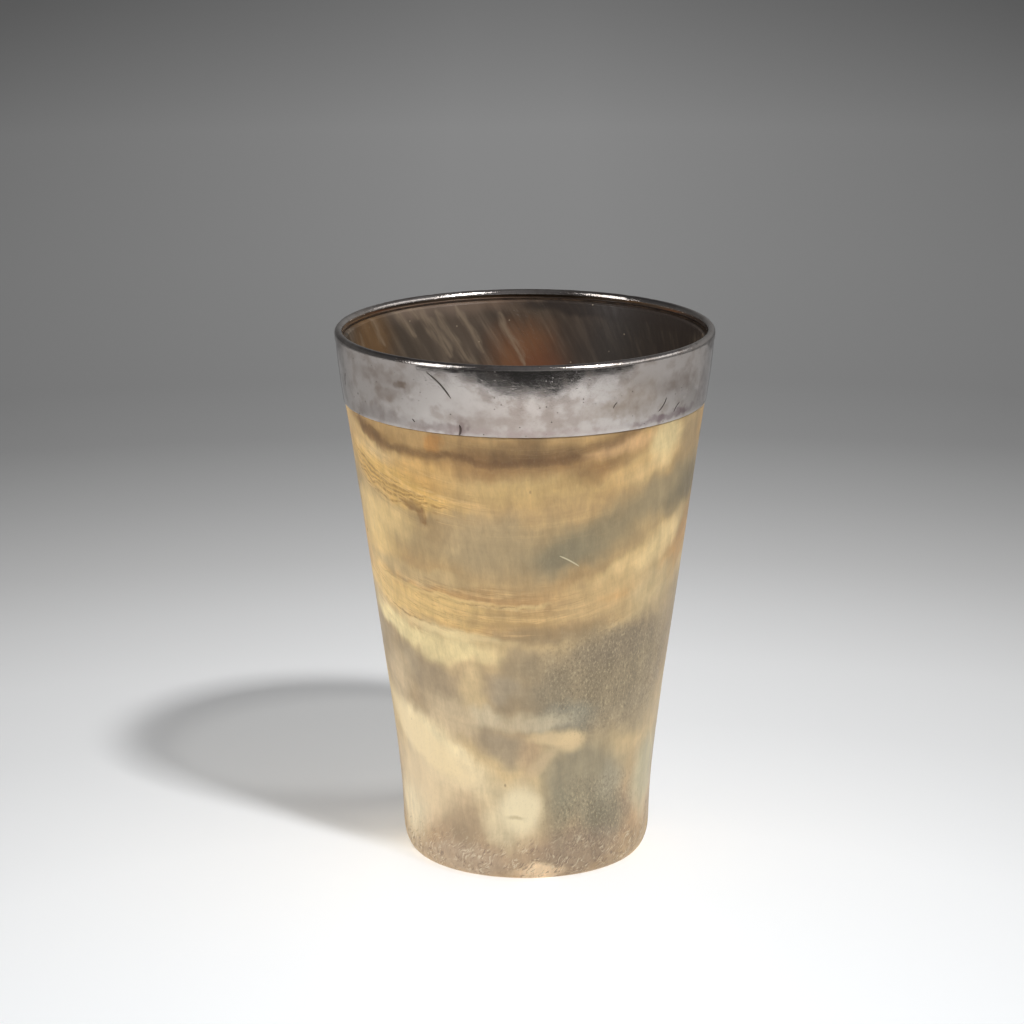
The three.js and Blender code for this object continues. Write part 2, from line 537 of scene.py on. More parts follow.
radius, _, height = round_places(corner_places(collar))
sheet_middle = np.array([band_radius(z) - SHEET_THICKNESS / 2 for z in height])
is_outer = radius > sheet_middle
outer_face = is_outer * soft_step(lip_seat, lip_seat - STILL_UNDER_LIP, height)
roughen(collar, "waves", WAVE_SIZE, WAVE_DEPTH, outer_face)
roughen(collar, "ripples", RIPPLE_SIZE, RIPPLE_DEPTH, outer_face)

# %% Knocks, the seam and the tear
# Each knock is its angle, its height, its reach in mm and its depth in mm. A negative depth stands out.
KNOCKS = [
    (-56, 107.4, 2.2, 0.042),
    (-47, 105.2, 1.5, 0.036),
    (-38, 110.8, 1.0, 0.03),
    (-36, 108.6, 0.45, 0.036),
    (-31, 104.6, 1.1, 0.03),
    (-24, 111.0, 1.4, -0.024),
    (9, 104.0, 0.5, 0.03),
    (21, 108.8, 0.4, 0.036),
    (27, 109.6, 0.5, 0.03),
    (38, 107.0, 2.4, 0.042),
    (46, 110.4, 1.3, 0.03),
    (57, 106.8, 1.2, 0.048),
    (66, 109.0, 1.8, 0.036),
    (96, 106.0, 2.0, 0.048),
    (121, 109.5, 1.3, 0.042),
    (150, 104.8, 1.6, 0.036),
    (-84, 108.2, 1.7, 0.042),
    (-112, 105.4, 2.3, 0.048),
    (-139, 110.2, 1.2, 0.036),
    (-163, 106.6, 1.9, 0.042),
]
SEAM_ANGLE = 176
SEAM_WIDTH = 0.3 * MM
SEAM_DEPTH = 0.05 * MM
TEAR_ANGLE = -20.3
TEAR_REACH = 0.55 * MM
TEAR_HEIGHT = 1.3 * MM
TEAR_DEPTH = 0.16 * MM

places = corner_places(collar)
radius, angle, height = round_places(places)
push = SEAM_DEPTH * bell(arc_between(angle, SEAM_ANGLE, radius) / SEAM_WIDTH)
tear_across = arc_between(angle, TEAR_ANGLE, radius) / TEAR_REACH
push += TEAR_DEPTH * bell(tear_across, (height - band_foot) / TEAR_HEIGHT)
for knock_angle, knock_height, reach, depth in KNOCKS:
    across = arc_between(angle, knock_angle, radius) / (reach * MM)
    push += depth * MM * bell(across, (height - knock_height * MM) / (reach * MM))
push *= radius > sheet_middle
# The corners of the outer face move towards the axis, and their height stays.
places[:, :2] *= (1 - push / radius)[:, None]
place_corners(collar, places)
stands_for(collar, "rim_band")
print("deepest push into the sheet in mm:", round(push.max() / MM, 3))

# %% [markdown]
# ## Silver lip
# The lip is a half-round wire, filed flat underneath and soldered on the top edge of the collar, so that it
# covers the cement and the end grain of the horn. The solder fills its lower outside, so lip and collar
# reflect as one. Rings, teeth and other cups have nicked it all round.

# %% Silver lip
LIP_COLUMNS = 720
LIP_ROWS = 30
NICK_COUNT = 90
NICK_SEED = 11
NICK_DEPTH = (0.01 * MM, 0.045 * MM)
NICK_REACH = (0.2 * MM, 0.7 * MM)
NICK_TURN = (0, 130)
NICK_LENGTH = 1.5
SOLDER_SLOPE = 0.08

wire_radius = mouth_radius - LIP_WIDTH / 2
wire_height = rim_height - LIP_WIRE_HEIGHT / 2


def lip_section():
    filed = math.asin((wire_height - lip_seat) / (LIP_WIRE_HEIGHT / 2))
    end = math.pi + filed
    wire = arc(LIP_ROWS, wire_radius, wire_height, LIP_WIDTH / 2, LIP_WIRE_HEIGHT / 2, -filed, end)
    section = []
    for radius, height in wire:
        if height < wire_height and radius > wire_radius:
            radius = mouth_radius + SOLDER_SLOPE * (height - wire_height)
        section.append((radius, height))
    return section


lip = turned_piece("lip", lip_section(), LIP_COLUMNS)
nick_draw = np.random.default_rng(NICK_SEED)
places = corner_places(lip)
radius, angle, height = round_places(places)
middle = places * (wire_radius / radius)[:, None]
middle[:, 2] = wire_height
section_turn = np.degrees(np.arctan2(height - wire_height, radius - wire_radius))
inward = middle - places
inward /= np.linalg.norm(inward, axis=1, keepdims=True)
for _ in range(NICK_COUNT):
    nick_angle = nick_draw.uniform(-180, 180)
    nick_turn = nick_draw.uniform(*NICK_TURN)
    reach = nick_draw.uniform(*NICK_REACH)
    depth = nick_draw.uniform(*NICK_DEPTH)
    across = arc_between(angle, nick_angle, radius)
    round_wire = np.radians(section_turn - nick_turn) * LIP_WIDTH / 2
    places += inward * (depth * bell(across / reach, round_wire / (reach * NICK_LENGTH)))[:, None]
place_corners(lip, places)
stands_for(lip, "rim_lip")
print("nicks in the lip:", NICK_COUNT)

# %% [markdown]
# ## Finishes
# A finish is built from a few small node groups that read where a point lies on the turned surface: its
# angle round the axis, counted from the front, and its height. Horn, silver and pitch all use them, each
# with its own values. The groups give only colours, masks and heights. The shader itself stays in each
# material. A long sum is hard to read as a row of Math nodes, so a small class stands for a node's output:
# it can be added and multiplied like a number, and each sign adds the Math node that it stands for.


# %% Wires
class Wire:
    """A node's output. Each sign between it and another wire or a number adds a Math node."""

    def __init__(self, socket):
        self.socket = socket
        self.tree = socket.id_data

    def __add__(self, other):
        return reckon("ADD", self, other)

    def __sub__(self, other):
        return reckon("SUBTRACT", self, other)

    def __rsub__(self, number):
        return reckon("SUBTRACT", number, self)

    def __mul__(self, other):
        return reckon("MULTIPLY", self, other)

    def __truediv__(self, other):
        return reckon("DIVIDE", self, other)

    def __rtruediv__(self, number):
        return reckon("DIVIDE", number, self)

    def __abs__(self):
        return reckon("ABSOLUTE", self)


def tree_of(values):
    """The node tree of the first wire among the values."""
    return next(value.tree for value in values if isinstance(value, Wire))


def fill(socket, value):
    """Wires a value into a socket, or sets the socket to it."""
    if isinstance(value, Wire):
        value.tree.links.new(value.socket, socket)
    else:
        socket.default_value = value


def add_node(kind, inputs=None, output=0, tree=None, **options):
    """Adds a node, sets its options, fills its inputs, and returns one output or a list of several."""
    inputs = inputs or {}
    made = (tree or tree_of(inputs.values())).nodes.new("ShaderNode" + kind)
    for name, value in options.items():
        setattr(made, name, value)
    for key, value in inputs.items():
        fill(made.inputs[key], value)
    if isinstance(output, tuple):
        return [Wire(made.outputs[key]) for key in output]
    return Wire(made.outputs[output])


def reckon(operation, *values, clamp=False):
    """A Math node's result."""
    return add_node("Math", dict(enumerate(values)), operation=operation, use_clamp=clamp)


# %% Helpers for masks, colours and patterns
MIX_FACTOR, MIX_A, MIX_B, MIX_RESULT = 0, 6, 7, 2


def shade(red, green, blue):
    """A colour given as it looks on a screen, from 0 to 255, as the linear values that Blender takes."""
    parts = [value / 255 for value in (red, green, blue)]
    parts = [p / 12.92 if p <= 0.04045 else ((p + 0.055) / 1.055) ** 2.4 for p in parts]
    return (*parts, 1)


def largest(*values):
    """The largest of several values, which also joins several masks into one."""
    return functools.reduce(functools.partial(reckon, "MAXIMUM"), values)


def long_side(value, other):
    """The long side of a right-angled triangle with these two short ones."""
    return reckon("SQRT", value * value + other * other)


def spread(value, from_low, from_high, to_low=0.0, to_high=1.0, smooth=True):
    """A value stretched from one range to another, and kept inside it."""
    kind = "SMOOTHSTEP" if smooth else "LINEAR"
    ranges = {"From Min": from_low, "From Max": from_high, "To Min": to_low, "To Max": to_high}
    return add_node("MapRange", {"Value": value} | ranges, interpolation_type=kind)


def blend(factor, colour, other):
    """Two colours mixed by a factor."""
    return add_node("Mix", {MIX_FACTOR: factor, MIX_A: colour, MIX_B: other}, MIX_RESULT, data_type="RGBA")


def between(factor, tint, other):
    """A mix of two colours that are given as they look on a screen."""
    return blend(factor, shade(*tint), shade(*other))


def lay(colour, mask, *tint):
    """A tint laid over a colour where the mask is high."""
    return blend(mask, colour, shade(*tint))


def scaled(vector, factor):
    """A colour made lighter or darker, or a vector made longer or shorter."""
    return add_node("VectorMath", {0: vector, "Scale": factor}, operation="SCALE")


def stretched(position, x_factor, y_factor, z_factor):
    """A position multiplied axis by axis. A small factor draws a pattern out along its axis."""
    factors = add_node("CombineXYZ", {0: x_factor, 1: y_factor, 2: z_factor}, tree=position.tree)
    return add_node("VectorMath", {0: position, 1: factors}, operation="MULTIPLY")


def noise(vector, scale, detail=2.0, roughness=0.5, warp=0.0, output="Fac"):
    """Noise from 0 to 1, or as a colour."""
    look = {"Scale": scale, "Detail": detail, "Roughness": roughness, "Distortion": warp}
    return add_node("TexNoise", {"Vector": vector} | look, output)


def ramp(share, stops):
    """A colour ramp. Each stop is its place from 0 to 1 and its colour."""
    colour = add_node("ValToRGB", {0: share})
    elements = colour.socket.node.color_ramp.elements
    elements.remove(elements[1])
    for number, (at, tint) in enumerate(stops):
        stop = elements[0] if number == 0 else elements.new(at)
        stop.position = at
        stop.color = shade(*tint)
    return colour


# %% Making and placing a node group
def new_group(name, *inputs):
    """An empty group, and its inputs as wires. Only Position is a vector."""
    group = bpy.data.node_groups.new(name, "ShaderNodeTree")
    for socket in inputs:
        add_socket(group, "INPUT", socket)
    given = group.nodes.new("NodeGroupInput").outputs
    return group, [Wire(given[socket]) for socket in inputs]


def add_socket(group, direction, name):
    kind = "NodeSocketVector" if name == "Position" else "NodeSocketFloat"
    group.interface.new_socket(name=name, in_out=direction, socket_type=kind)


def gives(group, **results):
    """Wires a group's results to outputs of the same names."""
    for name in results:
        add_socket(group, "OUTPUT", name)
    ends = group.nodes.new("NodeGroupOutput").inputs
    for name, value in results.items():
        fill(ends[name], value)
    return group


def put(group, *values, tree=None):
    """Places a group, fills its inputs in their order, and returns its outputs."""
    made = (tree or tree_of(values)).nodes.new("ShaderNodeGroup")
    made.node_tree = group
    for socket, value in zip(made.inputs, values):
        fill(socket, value)
    return [Wire(socket) for socket in made.outputs]


# %% Group: place on the turned surface
Place = namedtuple("Place", ["position", "angle", "height"])


def make_place_group():
    group, _ = new_group("place on the turned surface")
    here = add_node("TexCoord", output="Object", tree=group)
    position = scaled(here, 1 / MM)
    x, y, z = add_node("SeparateXYZ", {0: position}, (0, 1, 2))
    turn = reckon("ARCTAN2", x, y * -1.0)
    return gives(group, Position=position, Angle=reckon("DEGREES", turn), Height=z)


place_group = make_place_group()


def read_place(material):
    """Position in mm, the angle from the front in degrees, and the height in mm."""
    return Place(*put(place_group, tree=material.node_tree))


# %% Group: wander
FEATHER_DRAW = 0.07
FEATHER_SCALE = 0.45


def make_wander_group():
    names = ["Position", "Angle", "Height", "Drift Size", "Angle Drift", "Height Drift", "Feather"]
    group, (position, angle, height, size, angle_drift, height_drift, feather) = new_group("wander", *names)
    drift = noise(position, 1.0 / size, output="Color")
    around, upward = add_node("SeparateColor", {0: drift}, (0, 1))
    ragged = noise(stretched(position, 1.0, 1.0, FEATHER_DRAW), FEATHER_SCALE, detail=4.0, roughness=0.55)
    angle = angle + (around - 0.5) * angle_drift
    height = height + (upward - 0.5) * height_drift + (ragged - 0.5) * feather
    return gives(group, Angle=angle, Height=height)


wander_group = make_wander_group()


def wander(place, size, angle_drift, height_drift, feather):
    """A place whose angle and height drift about, with an edge that frays along the fibres."""
    return Place(place.position, *put(wander_group, *place, size, angle_drift, height_drift, feather))


# %% Group: patch
EDGE_REACH = 0.68


def wrapped(angle):
    """An angle brought back between -180 and 180 degrees."""
    return reckon("WRAP", angle, -180.0, 180.0)


def cosine(angle):
    return reckon("COSINE", reckon("RADIANS", angle))


def make_patch_group():
    names = ["Angle", "Height", "At Angle", "At Height", "Half Width", "Half Height"]
    group, given = new_group("patch", *names, "Softness", "Slope", "Bend")
    angle, height, at_angle, at_height, half_width, half_height, softness, slope, bend = given
    off = wrapped(angle - at_angle)
    up = height - at_height - slope * off - bend * (1.0 - cosine(off))
    away = long_side(off / half_width, up / half_height)
    edge = softness * EDGE_REACH
    return gives(group, Mask=spread(away, edge + 1.0, 1.0 - edge))


patch_group = make_patch_group()


def patch(place, at_angle, at_height, wide, tall, strength=0.8, softness=0.8, slope=0.0, bend=0.0):
    """A soft-edged oval with half its width in degrees and half its height in mm.

    Slope tilts it in mm per degree, and bend lifts both its ends."""
    where = (at_angle, at_height, wide, tall, softness, slope, bend)
    return put(patch_group, place.angle, place.height, *where)[0] * strength


def patches(place, rows):
    """Several patches joined into one mask."""
    return largest(*[patch(place, *row) for row in rows])


def paint(colour, place, clouds, uneven):
    """Lays clouds over a colour, one after another. Each mask is broken up a little by an uneven value."""
    for tint, *row in clouds:
        colour = lay(colour, patch(place, *row) * uneven, *tint)
    return colour


# %% Group: drawn-out grain
def make_grain_group():
    group, given = new_group("drawn-out grain", "Position", "Width", "Length", "Twist", "Detail")
    position, width, length, twist, detail = given
    height = add_node("SeparateXYZ", {0: position}, 2)
    twisted = add_node("VectorRotate", {"Vector": position, "Angle": height * twist}, rotation_type="Z_AXIS")
    across = 1.0 / width
    drawn = stretched(twisted, across, across, 1.0 / length)
    return gives(group, Grain=noise(drawn, scale=1.0, detail=detail, roughness=0.55))


grain_group = make_grain_group()


def grain(position, width, length, twist, detail=3.0):
    """Noise drawn out along the height, and slanted by a twist in radians per mm of height."""
    return put(grain_group, position, width, length, twist, detail)[0]


# %% Group: stroke
def make_stroke_group():
    names = ["Angle", "Height", "From Angle", "From Height", "To Angle", "To Height", "Width", "Bow"]
    group, given = new_group("stroke", *names, "Radius", "Softness")
    angle, height, from_angle, from_height, to_angle, to_height, width, bow, radius, softness = given
    across = reckon("RADIANS", wrapped(angle - from_angle)) * radius
    upward = height - from_height
    run = reckon("RADIANS", to_angle - from_angle) * radius
    rise = to_height - from_height
    length = long_side(run, rise)
    ahead = (across * run + upward * rise) / length
    aside = (across * rise - upward * run) / length
    share = reckon("DIVIDE", ahead, length, clamp=True)
    arch = share * (1.0 - share) * 4.0
    away = long_side(aside + arch * bow, ahead - share * length) / width
    away = away / spread(arch, 0.0, 0.6, 0.45, 1.0)
    far = softness * 0.5 + 0.5
    near = 0.55 - softness * 0.5
    return gives(group, Mask=spread(away, far, near))


stroke_group = make_stroke_group()


def strokes(place, lines, radius, softness=0.3):
    """Several thin marks joined into one mask, on a surface of this radius in mm."""
    masks = [put(stroke_group, place.angle, place.height, *line, radius, softness)[0] for line in lines]
    return largest(*masks)


# %% Group: specks
def make_specks_group():
    group, given = new_group("specks", "Position", "Size", "Share", "Dot", "Stretch")
    position, size, share, dot, stretch = given
    cell = {"Vector": stretched(position, 1.0, 1.0, 1.0 / stretch), "Scale": 1.0 / size, "Randomness": 1.0}
    distance, lots = add_node("TexVoronoi", cell, ("Distance", "Color"))
    drawn_lot = add_node("SeparateColor", {0: lots})
    kept = reckon("LESS_THAN", drawn_lot, share)
    return gives(group, Mask=kept * spread(distance, dot, dot * 0.4))


specks_group = make_specks_group()


def specks(position, size, share, dot, stretch=1.0):
    """Small scattered dots: size is their spacing in mm, and share how many of the places hold one."""
    return put(specks_group, position, size, share, dot, stretch)[0]


print("groups:", sorted(group.name for group in bpy.data.node_groups))


# %% Materials
def new_material(name, **settings):
    """A material with a bare Principled shader, and constant values on its own sockets."""
    material = bpy.data.materials.new(name)
    material.use_nodes = True
    shader = material.node_tree.nodes["Principled BSDF"]
    for socket, value in settings.items():
        shader.inputs[socket.replace("_", " ")].default_value = value
    return material, shader


def finish(shader, colour, rough, relief, depth):
    """Wires a colour, a roughness and a relief from 0 to 1, with its depth in mm, into a shader."""
    fill(shader.inputs["Base Color"], colour)
    fill(shader.inputs["Roughness"], rough)
    bump = {"Height": relief, "Distance": depth * MM, "Strength": 1.0}
    fill(shader.inputs["Normal"], add_node("Bump", bump))


def finished_in(piece, materials, choose=None):
    """Gives a piece its materials, and each face the number that choose returns."""
    piece.data.materials.clear()
    for material in materials:
        piece.data.materials.append(material)
    if choose:
        for face in piece.data.polygons:
            face.material_index = choose(face)
    print(piece.name, "is finished in", ", ".join(material.name for material in materials))


# %% [markdown]
# ## Horn, outside
# Horn grows in layers, like stacked paper cones, and a turned surface cuts through them at a slant. The
# layers then show as bands that dip at the front and rise to both sides. So the first colour is a ramp over
# a layer height, which is the height less a rise that grows with the angle. On top lie clouds, where the
# horn is clearer or milkier, and one band of painted shade along the lower edge of the collar. They are
# placed one by one, because their pattern is what makes this cup this cup. Their edges fray along the
# fibres.

# %% Layers of the horn
LAYER_RISE = 14.0
LAYER_LEAN = 1.5
LAYER_FOOT = -34.0
LAYER_HEAD = 110.0

# Each stop is a layer height in mm and its colour.
LAYER_COLOURS = [
    (-30, (184, 152, 102)),
    (-20, (148, 124, 90)),
    (-12, (204, 172, 120)),
    (-4, (174, 146, 108)),
    (2, (190, 156, 114)),
    (8, (172, 144, 112)),
    (14, (182, 156, 118)),
    (22, (204, 178, 132)),
    (28, (206, 178, 130)),
    (33, (178, 152, 114)),
    (40, (166, 144, 110)),
    (46, (172, 148, 112)),
    (51, (204, 174, 126)),
    (55, (220, 188, 134)),
    (57, (204, 164, 106)),
    (61, (204, 160, 102)),
    (64, (192, 150, 96)),
    (67, (182, 148, 98)),
    (74, (178, 152, 108)),
    (81, (184, 154, 106)),
    (86, (202, 162, 104)),
    (91, (206, 172, 116)),
    (94, (166, 130, 80)),
    (98, (178, 144, 90)),
    (104, (174, 140, 88)),
]


def layer_height(place):
    """The height less the rise of the layers to both sides."""
    rise = (1.0 - cosine(place.angle)) * LAYER_RISE
    lean = reckon("SINE", reckon("RADIANS", place.angle)) * LAYER_LEAN
    return place.height - rise - lean


def layer_colour(layer):
    """The colour ramp over the layer height."""
    share = spread(layer, LAYER_FOOT, LAYER_HEAD, smooth=False)
    return ramp(share, [((at - LAYER_FOOT) / (LAYER_HEAD - LAYER_FOOT), tint) for at, tint in LAYER_COLOURS])


# %% Clouds of the horn
# Each line is a colour, the angle and height of the middle, half the width in degrees and half the height in
# mm. Where they differ from a plain patch, the strength, the softness, the slope in mm per degree and the
# bend in mm follow.
HORN_CLOUDS_AND_COLLAR_SHADE = [
    # Under the collar. The first cloud is painted shade along the collar's lower edge.
    ((188, 152, 100), -4, 99.5, 66, 3.0, 0.7, 0.7, 0.0, 8),
    ((118, 90, 54), -4, 98.0, 17, 2.8, 0.85, 0.9, 0.0, 6),
    ((160, 126, 80), -24, 97.6, 18, 2.4, 0.4, 0.9, 0.0, 6),
    ((116, 82, 46), -2, 95.8, 28, 0.9, 0.75, 0.7, 0.0, 9),
    ((146, 110, 66), -3, 93.4, 24, 2.2, 0.6, 0.9, 0.02, 9),
    ((126, 93, 53), -58, 98.2, 9, 1.6, 0.8, 0.6, -0.28),
    ((180, 125, 61), -30, 99.0, 3.0, 2.6, 0.7, 0.6),
    ((144, 105, 59), 21, 92.4, 14, 2.0, 0.8, 0.8, 0.18),
    ((228, 184, 132), 33, 98.6, 12, 2.0, 0.6, 0.8, 0.12),
    ((160, 138, 102), 66, 97.0, 9, 5.0, 0.8, 0.9, 0.1),
    ((228, 205, 151), 51, 97.5, 7, 5.0, 0.9, 0.8, 0.1),
    ((224, 193, 137), 45, 92.0, 12, 2.2, 0.6, 0.9, 0.2),
    ((220, 191, 139), -52, 93.0, 20, 2.4, 0.8, 0.7, -0.05, 6),
    ((236, 194, 118), -64, 91.5, 10, 3.2, 0.7, 0.8, -0.1),
    # The brown lines on the left
    ((208, 160, 86), -38, 91.6, 13, 3.6, 0.7, 0.9, -0.05),
    ((218, 176, 100), -50, 87.8, 26, 3.6, 0.9, 0.6, -0.12, 4),
    ((120, 83, 43), -36.5, 82.2, 1.4, 1.8, 0.7, 0.7),
    ((156, 129, 89), -32, 79.5, 8, 4.0, 0.6, 0.9),
    ((234, 200, 136), -62, 80.0, 18, 4.5),
    ((236, 202, 136), -66, 72.0, 14, 6.0, 0.7),
    # The middle, streaky and tan
    ((196, 164, 106), 2, 89.0, 24, 3.6, 0.7, 0.9, 0.03),
    ((178, 148, 102), 16, 85.6, 12, 3.0, 0.6, 0.9, 0.1),
    ((170, 149, 113), -14, 78.0, 14, 7.0, 0.6, 0.9),
    ((162, 140, 102), 0, 75.0, 12, 8.0, 0.5, 0.9),
    # The olive sweep and the light one under it
    ((138, 124, 94), 22, 78.0, 20, 4.6, 0.85, 0.8, 0.2),
    ((136, 125, 97), 14, 75.0, 10, 4.0, 0.7, 0.9, 0.2),
    ((150, 134, 102), 54, 86.4, 22, 4.4, 0.85, 0.8, 0.1),
    ((126, 113, 84), 70, 84.5, 15, 3.8, 0.85, 0.8, 0.1),
    ((220, 189, 133), 42, 71.5, 26, 3.8, 0.9, 0.6, 0.28),
    ((230, 202, 146), 56, 74.0, 14, 3.6, 0.8, 0.8, 0.3),
    ((192, 160, 110), 20, 65.6, 18, 2.6, 0.7, 0.8, 0.14),
    ((194, 172, 128), 52, 64.5, 15, 5.0, 0.85, 0.8, 0.1),
    ((172, 152, 118), 68, 60.0, 14, 5.0, 0.6, 0.9, 0.2),
    # The ochre band and the cream below it
    ((190, 164, 118), -44, 68.6, 26, 1.8, 0.8, 0.8, -0.02, 3),
    ((228, 193, 126), -44, 62.4, 40, 3.4, 0.85, 0.5, -0.05, 3),
    ((190, 156, 102), -4, 60.4, 22, 2.6, 0.8, 0.7, 0.0, 3),
    ((222, 192, 134), -6, 63.4, 12, 0.6, 0.8, 0.8, 0.0, 4),
    ((174, 135, 87), -12, 64.3, 12, 0.7, 0.7, 0.8, -0.03, 4),
    ((196, 168, 120), 26, 61.4, 16, 2.4, 0.7, 0.9, 0.03),
    ((244, 222, 164), -56, 55.4, 20, 2.6, 0.9, 0.6, -0.14),
    ((228, 206, 152), -32, 53.0, 20, 3.2, 0.9, 0.7),
    # Grey clouds
    ((150, 126, 90), 6, 56.8, 22, 2.4, 0.8, 0.8, 0.03),
    ((144, 130, 106), 9, 43.6, 8, 4.0, 0.8, 0.9),
    ((160, 140, 108), -2, 50.6, 10, 3.4),
    ((176, 156, 124), -51, 47.6, 7, 3.2, 0.85, 0.7, -0.3),
    ((168, 147, 116), -39, 43.6, 12, 5.6, 0.85, 0.8, -0.1),
    ((212, 185, 137), -22, 43.0, 4.5, 6.0, 0.7),
    ((164, 148, 122), -9, 44.6, 7, 3.2, 0.75),
    ((142, 127, 100), 34, 46.0, 34, 12.0, 0.85, 0.7, 0.05),
    ((138, 122, 98), 38, 53.0, 20, 4.4, 0.8, 0.9, 0.1),
    ((138, 133, 115), 18, 37.6, 12, 3.6),
    ((152, 137, 110), 50, 36.0, 20, 5.0, 0.7, 0.9),
    ((206, 182, 144), -64, 43.0, 9, 5.0),
    ((204, 182, 146), -32, 36.6, 14, 4.2, 0.7, 0.9),
    ((154, 137, 111), -8, 30.6, 15, 4.0, 0.85, 0.8, -0.18),
    ((200, 184, 152), 4, 37.0, 13, 2.0, 0.7, 0.9, 0.03),
    ((200, 184, 152), -16, 38.0, 7, 2.4, 0.7, 0.9),
    # Cream on the left, the cream bar, and the pale spot
    ((236, 216, 172), -44, 28.4, 30, 6.4, 0.95, 0.5, -0.24),
    ((218, 194, 155), -48, 20.0, 30, 8.0),
    ((202, 169, 127), 2, 29.0, 5, 4.0, 0.6, 0.9),
    ((162, 139, 109), -29, 12.0, 11, 6.0, 0.85),
    ((140, 130, 106), 26, 22.6, 20, 10.6, 0.9, 0.6, -0.1),
    ((164, 154, 130), 41, 21.5, 7, 6.0, 0.6, 0.9),
    ((126, 117, 95), 40, 12.6, 13, 4.4),
    ((132, 127, 105), 14, 15.0, 6, 6.0, 0.5, 0.9),
    ((196, 186, 150), 68, 20.0, 12, 9.0, 0.8, 0.7),
    ((206, 186, 148), -5, 15.4, 12, 7.0),
    ((216, 198, 160), -11, 13.0, 8, 4.4, 0.7, 0.9),
    ((228, 210, 172), -66, 12.0, 14, 6.0, 0.85),
    # The foot
    ((170, 150, 128), -30, 4.0, 26, 3.6, 0.7),
    ((136, 120, 102), 26, 6.0, 26, 4.6, 0.7, 0.8, 0.05),
    ((238, 208, 168), 6, 2.4, 10, 1.6, 0.95),
]

# %% Clouds with a crisper edge
# The same kind of line. These clouds are laid on last and keep closer to their places.
CRISP_CLOUDS = [
    ((224, 200, 160), -55, 21.0, 17, 6.5, 0.6, 0.9, -0.1),
    ((236, 212, 166), -50, 29.2, 24, 4.2, 0.85, 0.5, -0.24),
    ((230, 213, 174), -2.6, 16.6, 9.0, 5.2, 0.9, 0.6),
    ((220, 194, 148), 12.5, 33.2, 11, 1.5, 0.7, 0.7, -0.03),
    ((204, 178, 138), 5.5, 27.0, 8, 1.8, 0.6, 0.9, 0.45),
    ((224, 196, 148), 18.5, 32.2, 6, 2.4, 0.75),
    ((128, 94, 52), -41, 84.2, 4.5, 0.8, 0.7, 0.9, -0.1, 3),
    ((236, 214, 160), -30, 56.6, 20, 1.0, 0.6, 0.9, -0.05, 3),
    ((222, 190, 128), -38, 65.0, 34, 0.5, 0.6, 0.9, -0.05, 3),
    ((178, 158, 120), -5, 14.6, 3.5, 0.5, 0.6, 1.0),
]

# %% Clouds round the back
# The photographed side is the front. The back is made of the same horn, so it gets the same kinds of cloud.
BACK_CLOUDS = [
    ((148, 133, 103), 118, 82.0, 22, 6.0, 0.8, 0.8, 0.1),
    ((224, 195, 141), 128, 70.0, 26, 4.0, 0.85, 0.7, -0.1),
    ((158, 135, 103), 150, 54.0, 24, 8.0, 0.8, 0.8, 0.1),
    ((212, 169, 109), 172, 68.0, 24, 4.0, 0.8, 0.7, 0.05),
    ((146, 133, 107), -150, 80.0, 22, 7.0, 0.8, 0.8, -0.1),
    ((228, 201, 147), -168, 42.0, 20, 5.0, 0.85, 0.7, 0.1),
    ((154, 137, 107), -118, 60.0, 20, 8.0, 0.8, 0.8, -0.15),
    ((230, 203, 149), -104, 40.0, 22, 6.0, 0.85, 0.7, 0.1),
    ((130, 119, 97), -140, 22.0, 24, 7.0),
    ((224, 199, 149), 110, 32.0, 18, 6.0, 0.85, 0.7, -0.1),
    ((138, 125, 101), 140, 18.0, 22, 7.0, 0.8, 0.8, 0.1),
    ((220, 193, 141), 176, 14.0, 14, 5.0, 0.8, 0.7),
    ((144, 109, 65), 140, 96.0, 40, 1.3, 0.7, 0.8, 0.0, 9),
    ((148, 111, 67), -130, 95.0, 36, 1.2, 0.7, 0.8, 0.0, 9),
]

# %% Where the horn is lined and speckled, and its lines and scratches
# The same kind of line as for the clouds, without a colour.
LINED = [
    (-38, 61.5, 62, 6.5, 1.0, 0.5, 0.0, 5),
    (-48, 88.0, 34, 6.0, 1.0, 0.6, -0.1, 5),
    (10, 96.0, 60, 3.6, 0.22, 0.8, 0.0, 9),
    (26, 60.0, 18, 3.6, 0.5),
    (8, 82.0, 26, 5.0, 0.25),
    (150, 66.0, 60, 6.0, 0.8, 0.8, 0.0, 5),
    (-150, 86.0, 50, 5.0, 0.8, 0.8, 0.0, 5),
]
SPECKLED = [
    (40, 46, 34, 12, 1.0, 0.7),
    (34, 14, 24, 9, 1.0, 0.7),
]
# Strokes: first angle and height, last angle and height, width in mm and bow in mm.
BROWN_LINES = [
    (-74, 93.8, -45, 88.4, 0.5, -0.5),
    (-74, 92.0, -30, 86.4, 0.6, -1.0),
    (-73, 90.4, -36, 86.0, 0.45, -0.8),
    (-70, 89.0, -27, 84.9, 0.6, -1.2),
    (-58, 87.4, -38, 85.0, 0.4, -0.4),
    (-66, 86.6, -46, 84.2, 0.4, -0.3),
    (-47, 84.9, -36.5, 83.2, 0.7, -0.3),
    (-37, 83.8, -36.2, 80.4, 0.8, 0.2),
    (-62, 66.9, -34, 65.4, 0.4, -0.4),
    (-36, 65.3, -4, 63.6, 0.45, -0.6),
    (-60, 60.4, -24, 57.0, 0.5, -0.6),
]
BROWN_LINES_RADIUS = 36.0
COLLAR_BAND = [
    (-66, 101.0, -47, 96.6, 2.2, -0.4),
    (-48, 96.9, -22, 97.0, 1.7, -0.5),
    (-25, 97.1, 0, 96.7, 2.8, -0.2),
    (-3, 96.7, 19, 98.4, 2.8, -0.4),
    (17, 98.2, 40, 102.0, 2.2, -0.4),
]
COLLAR_BAND_RADIUS = 38.0
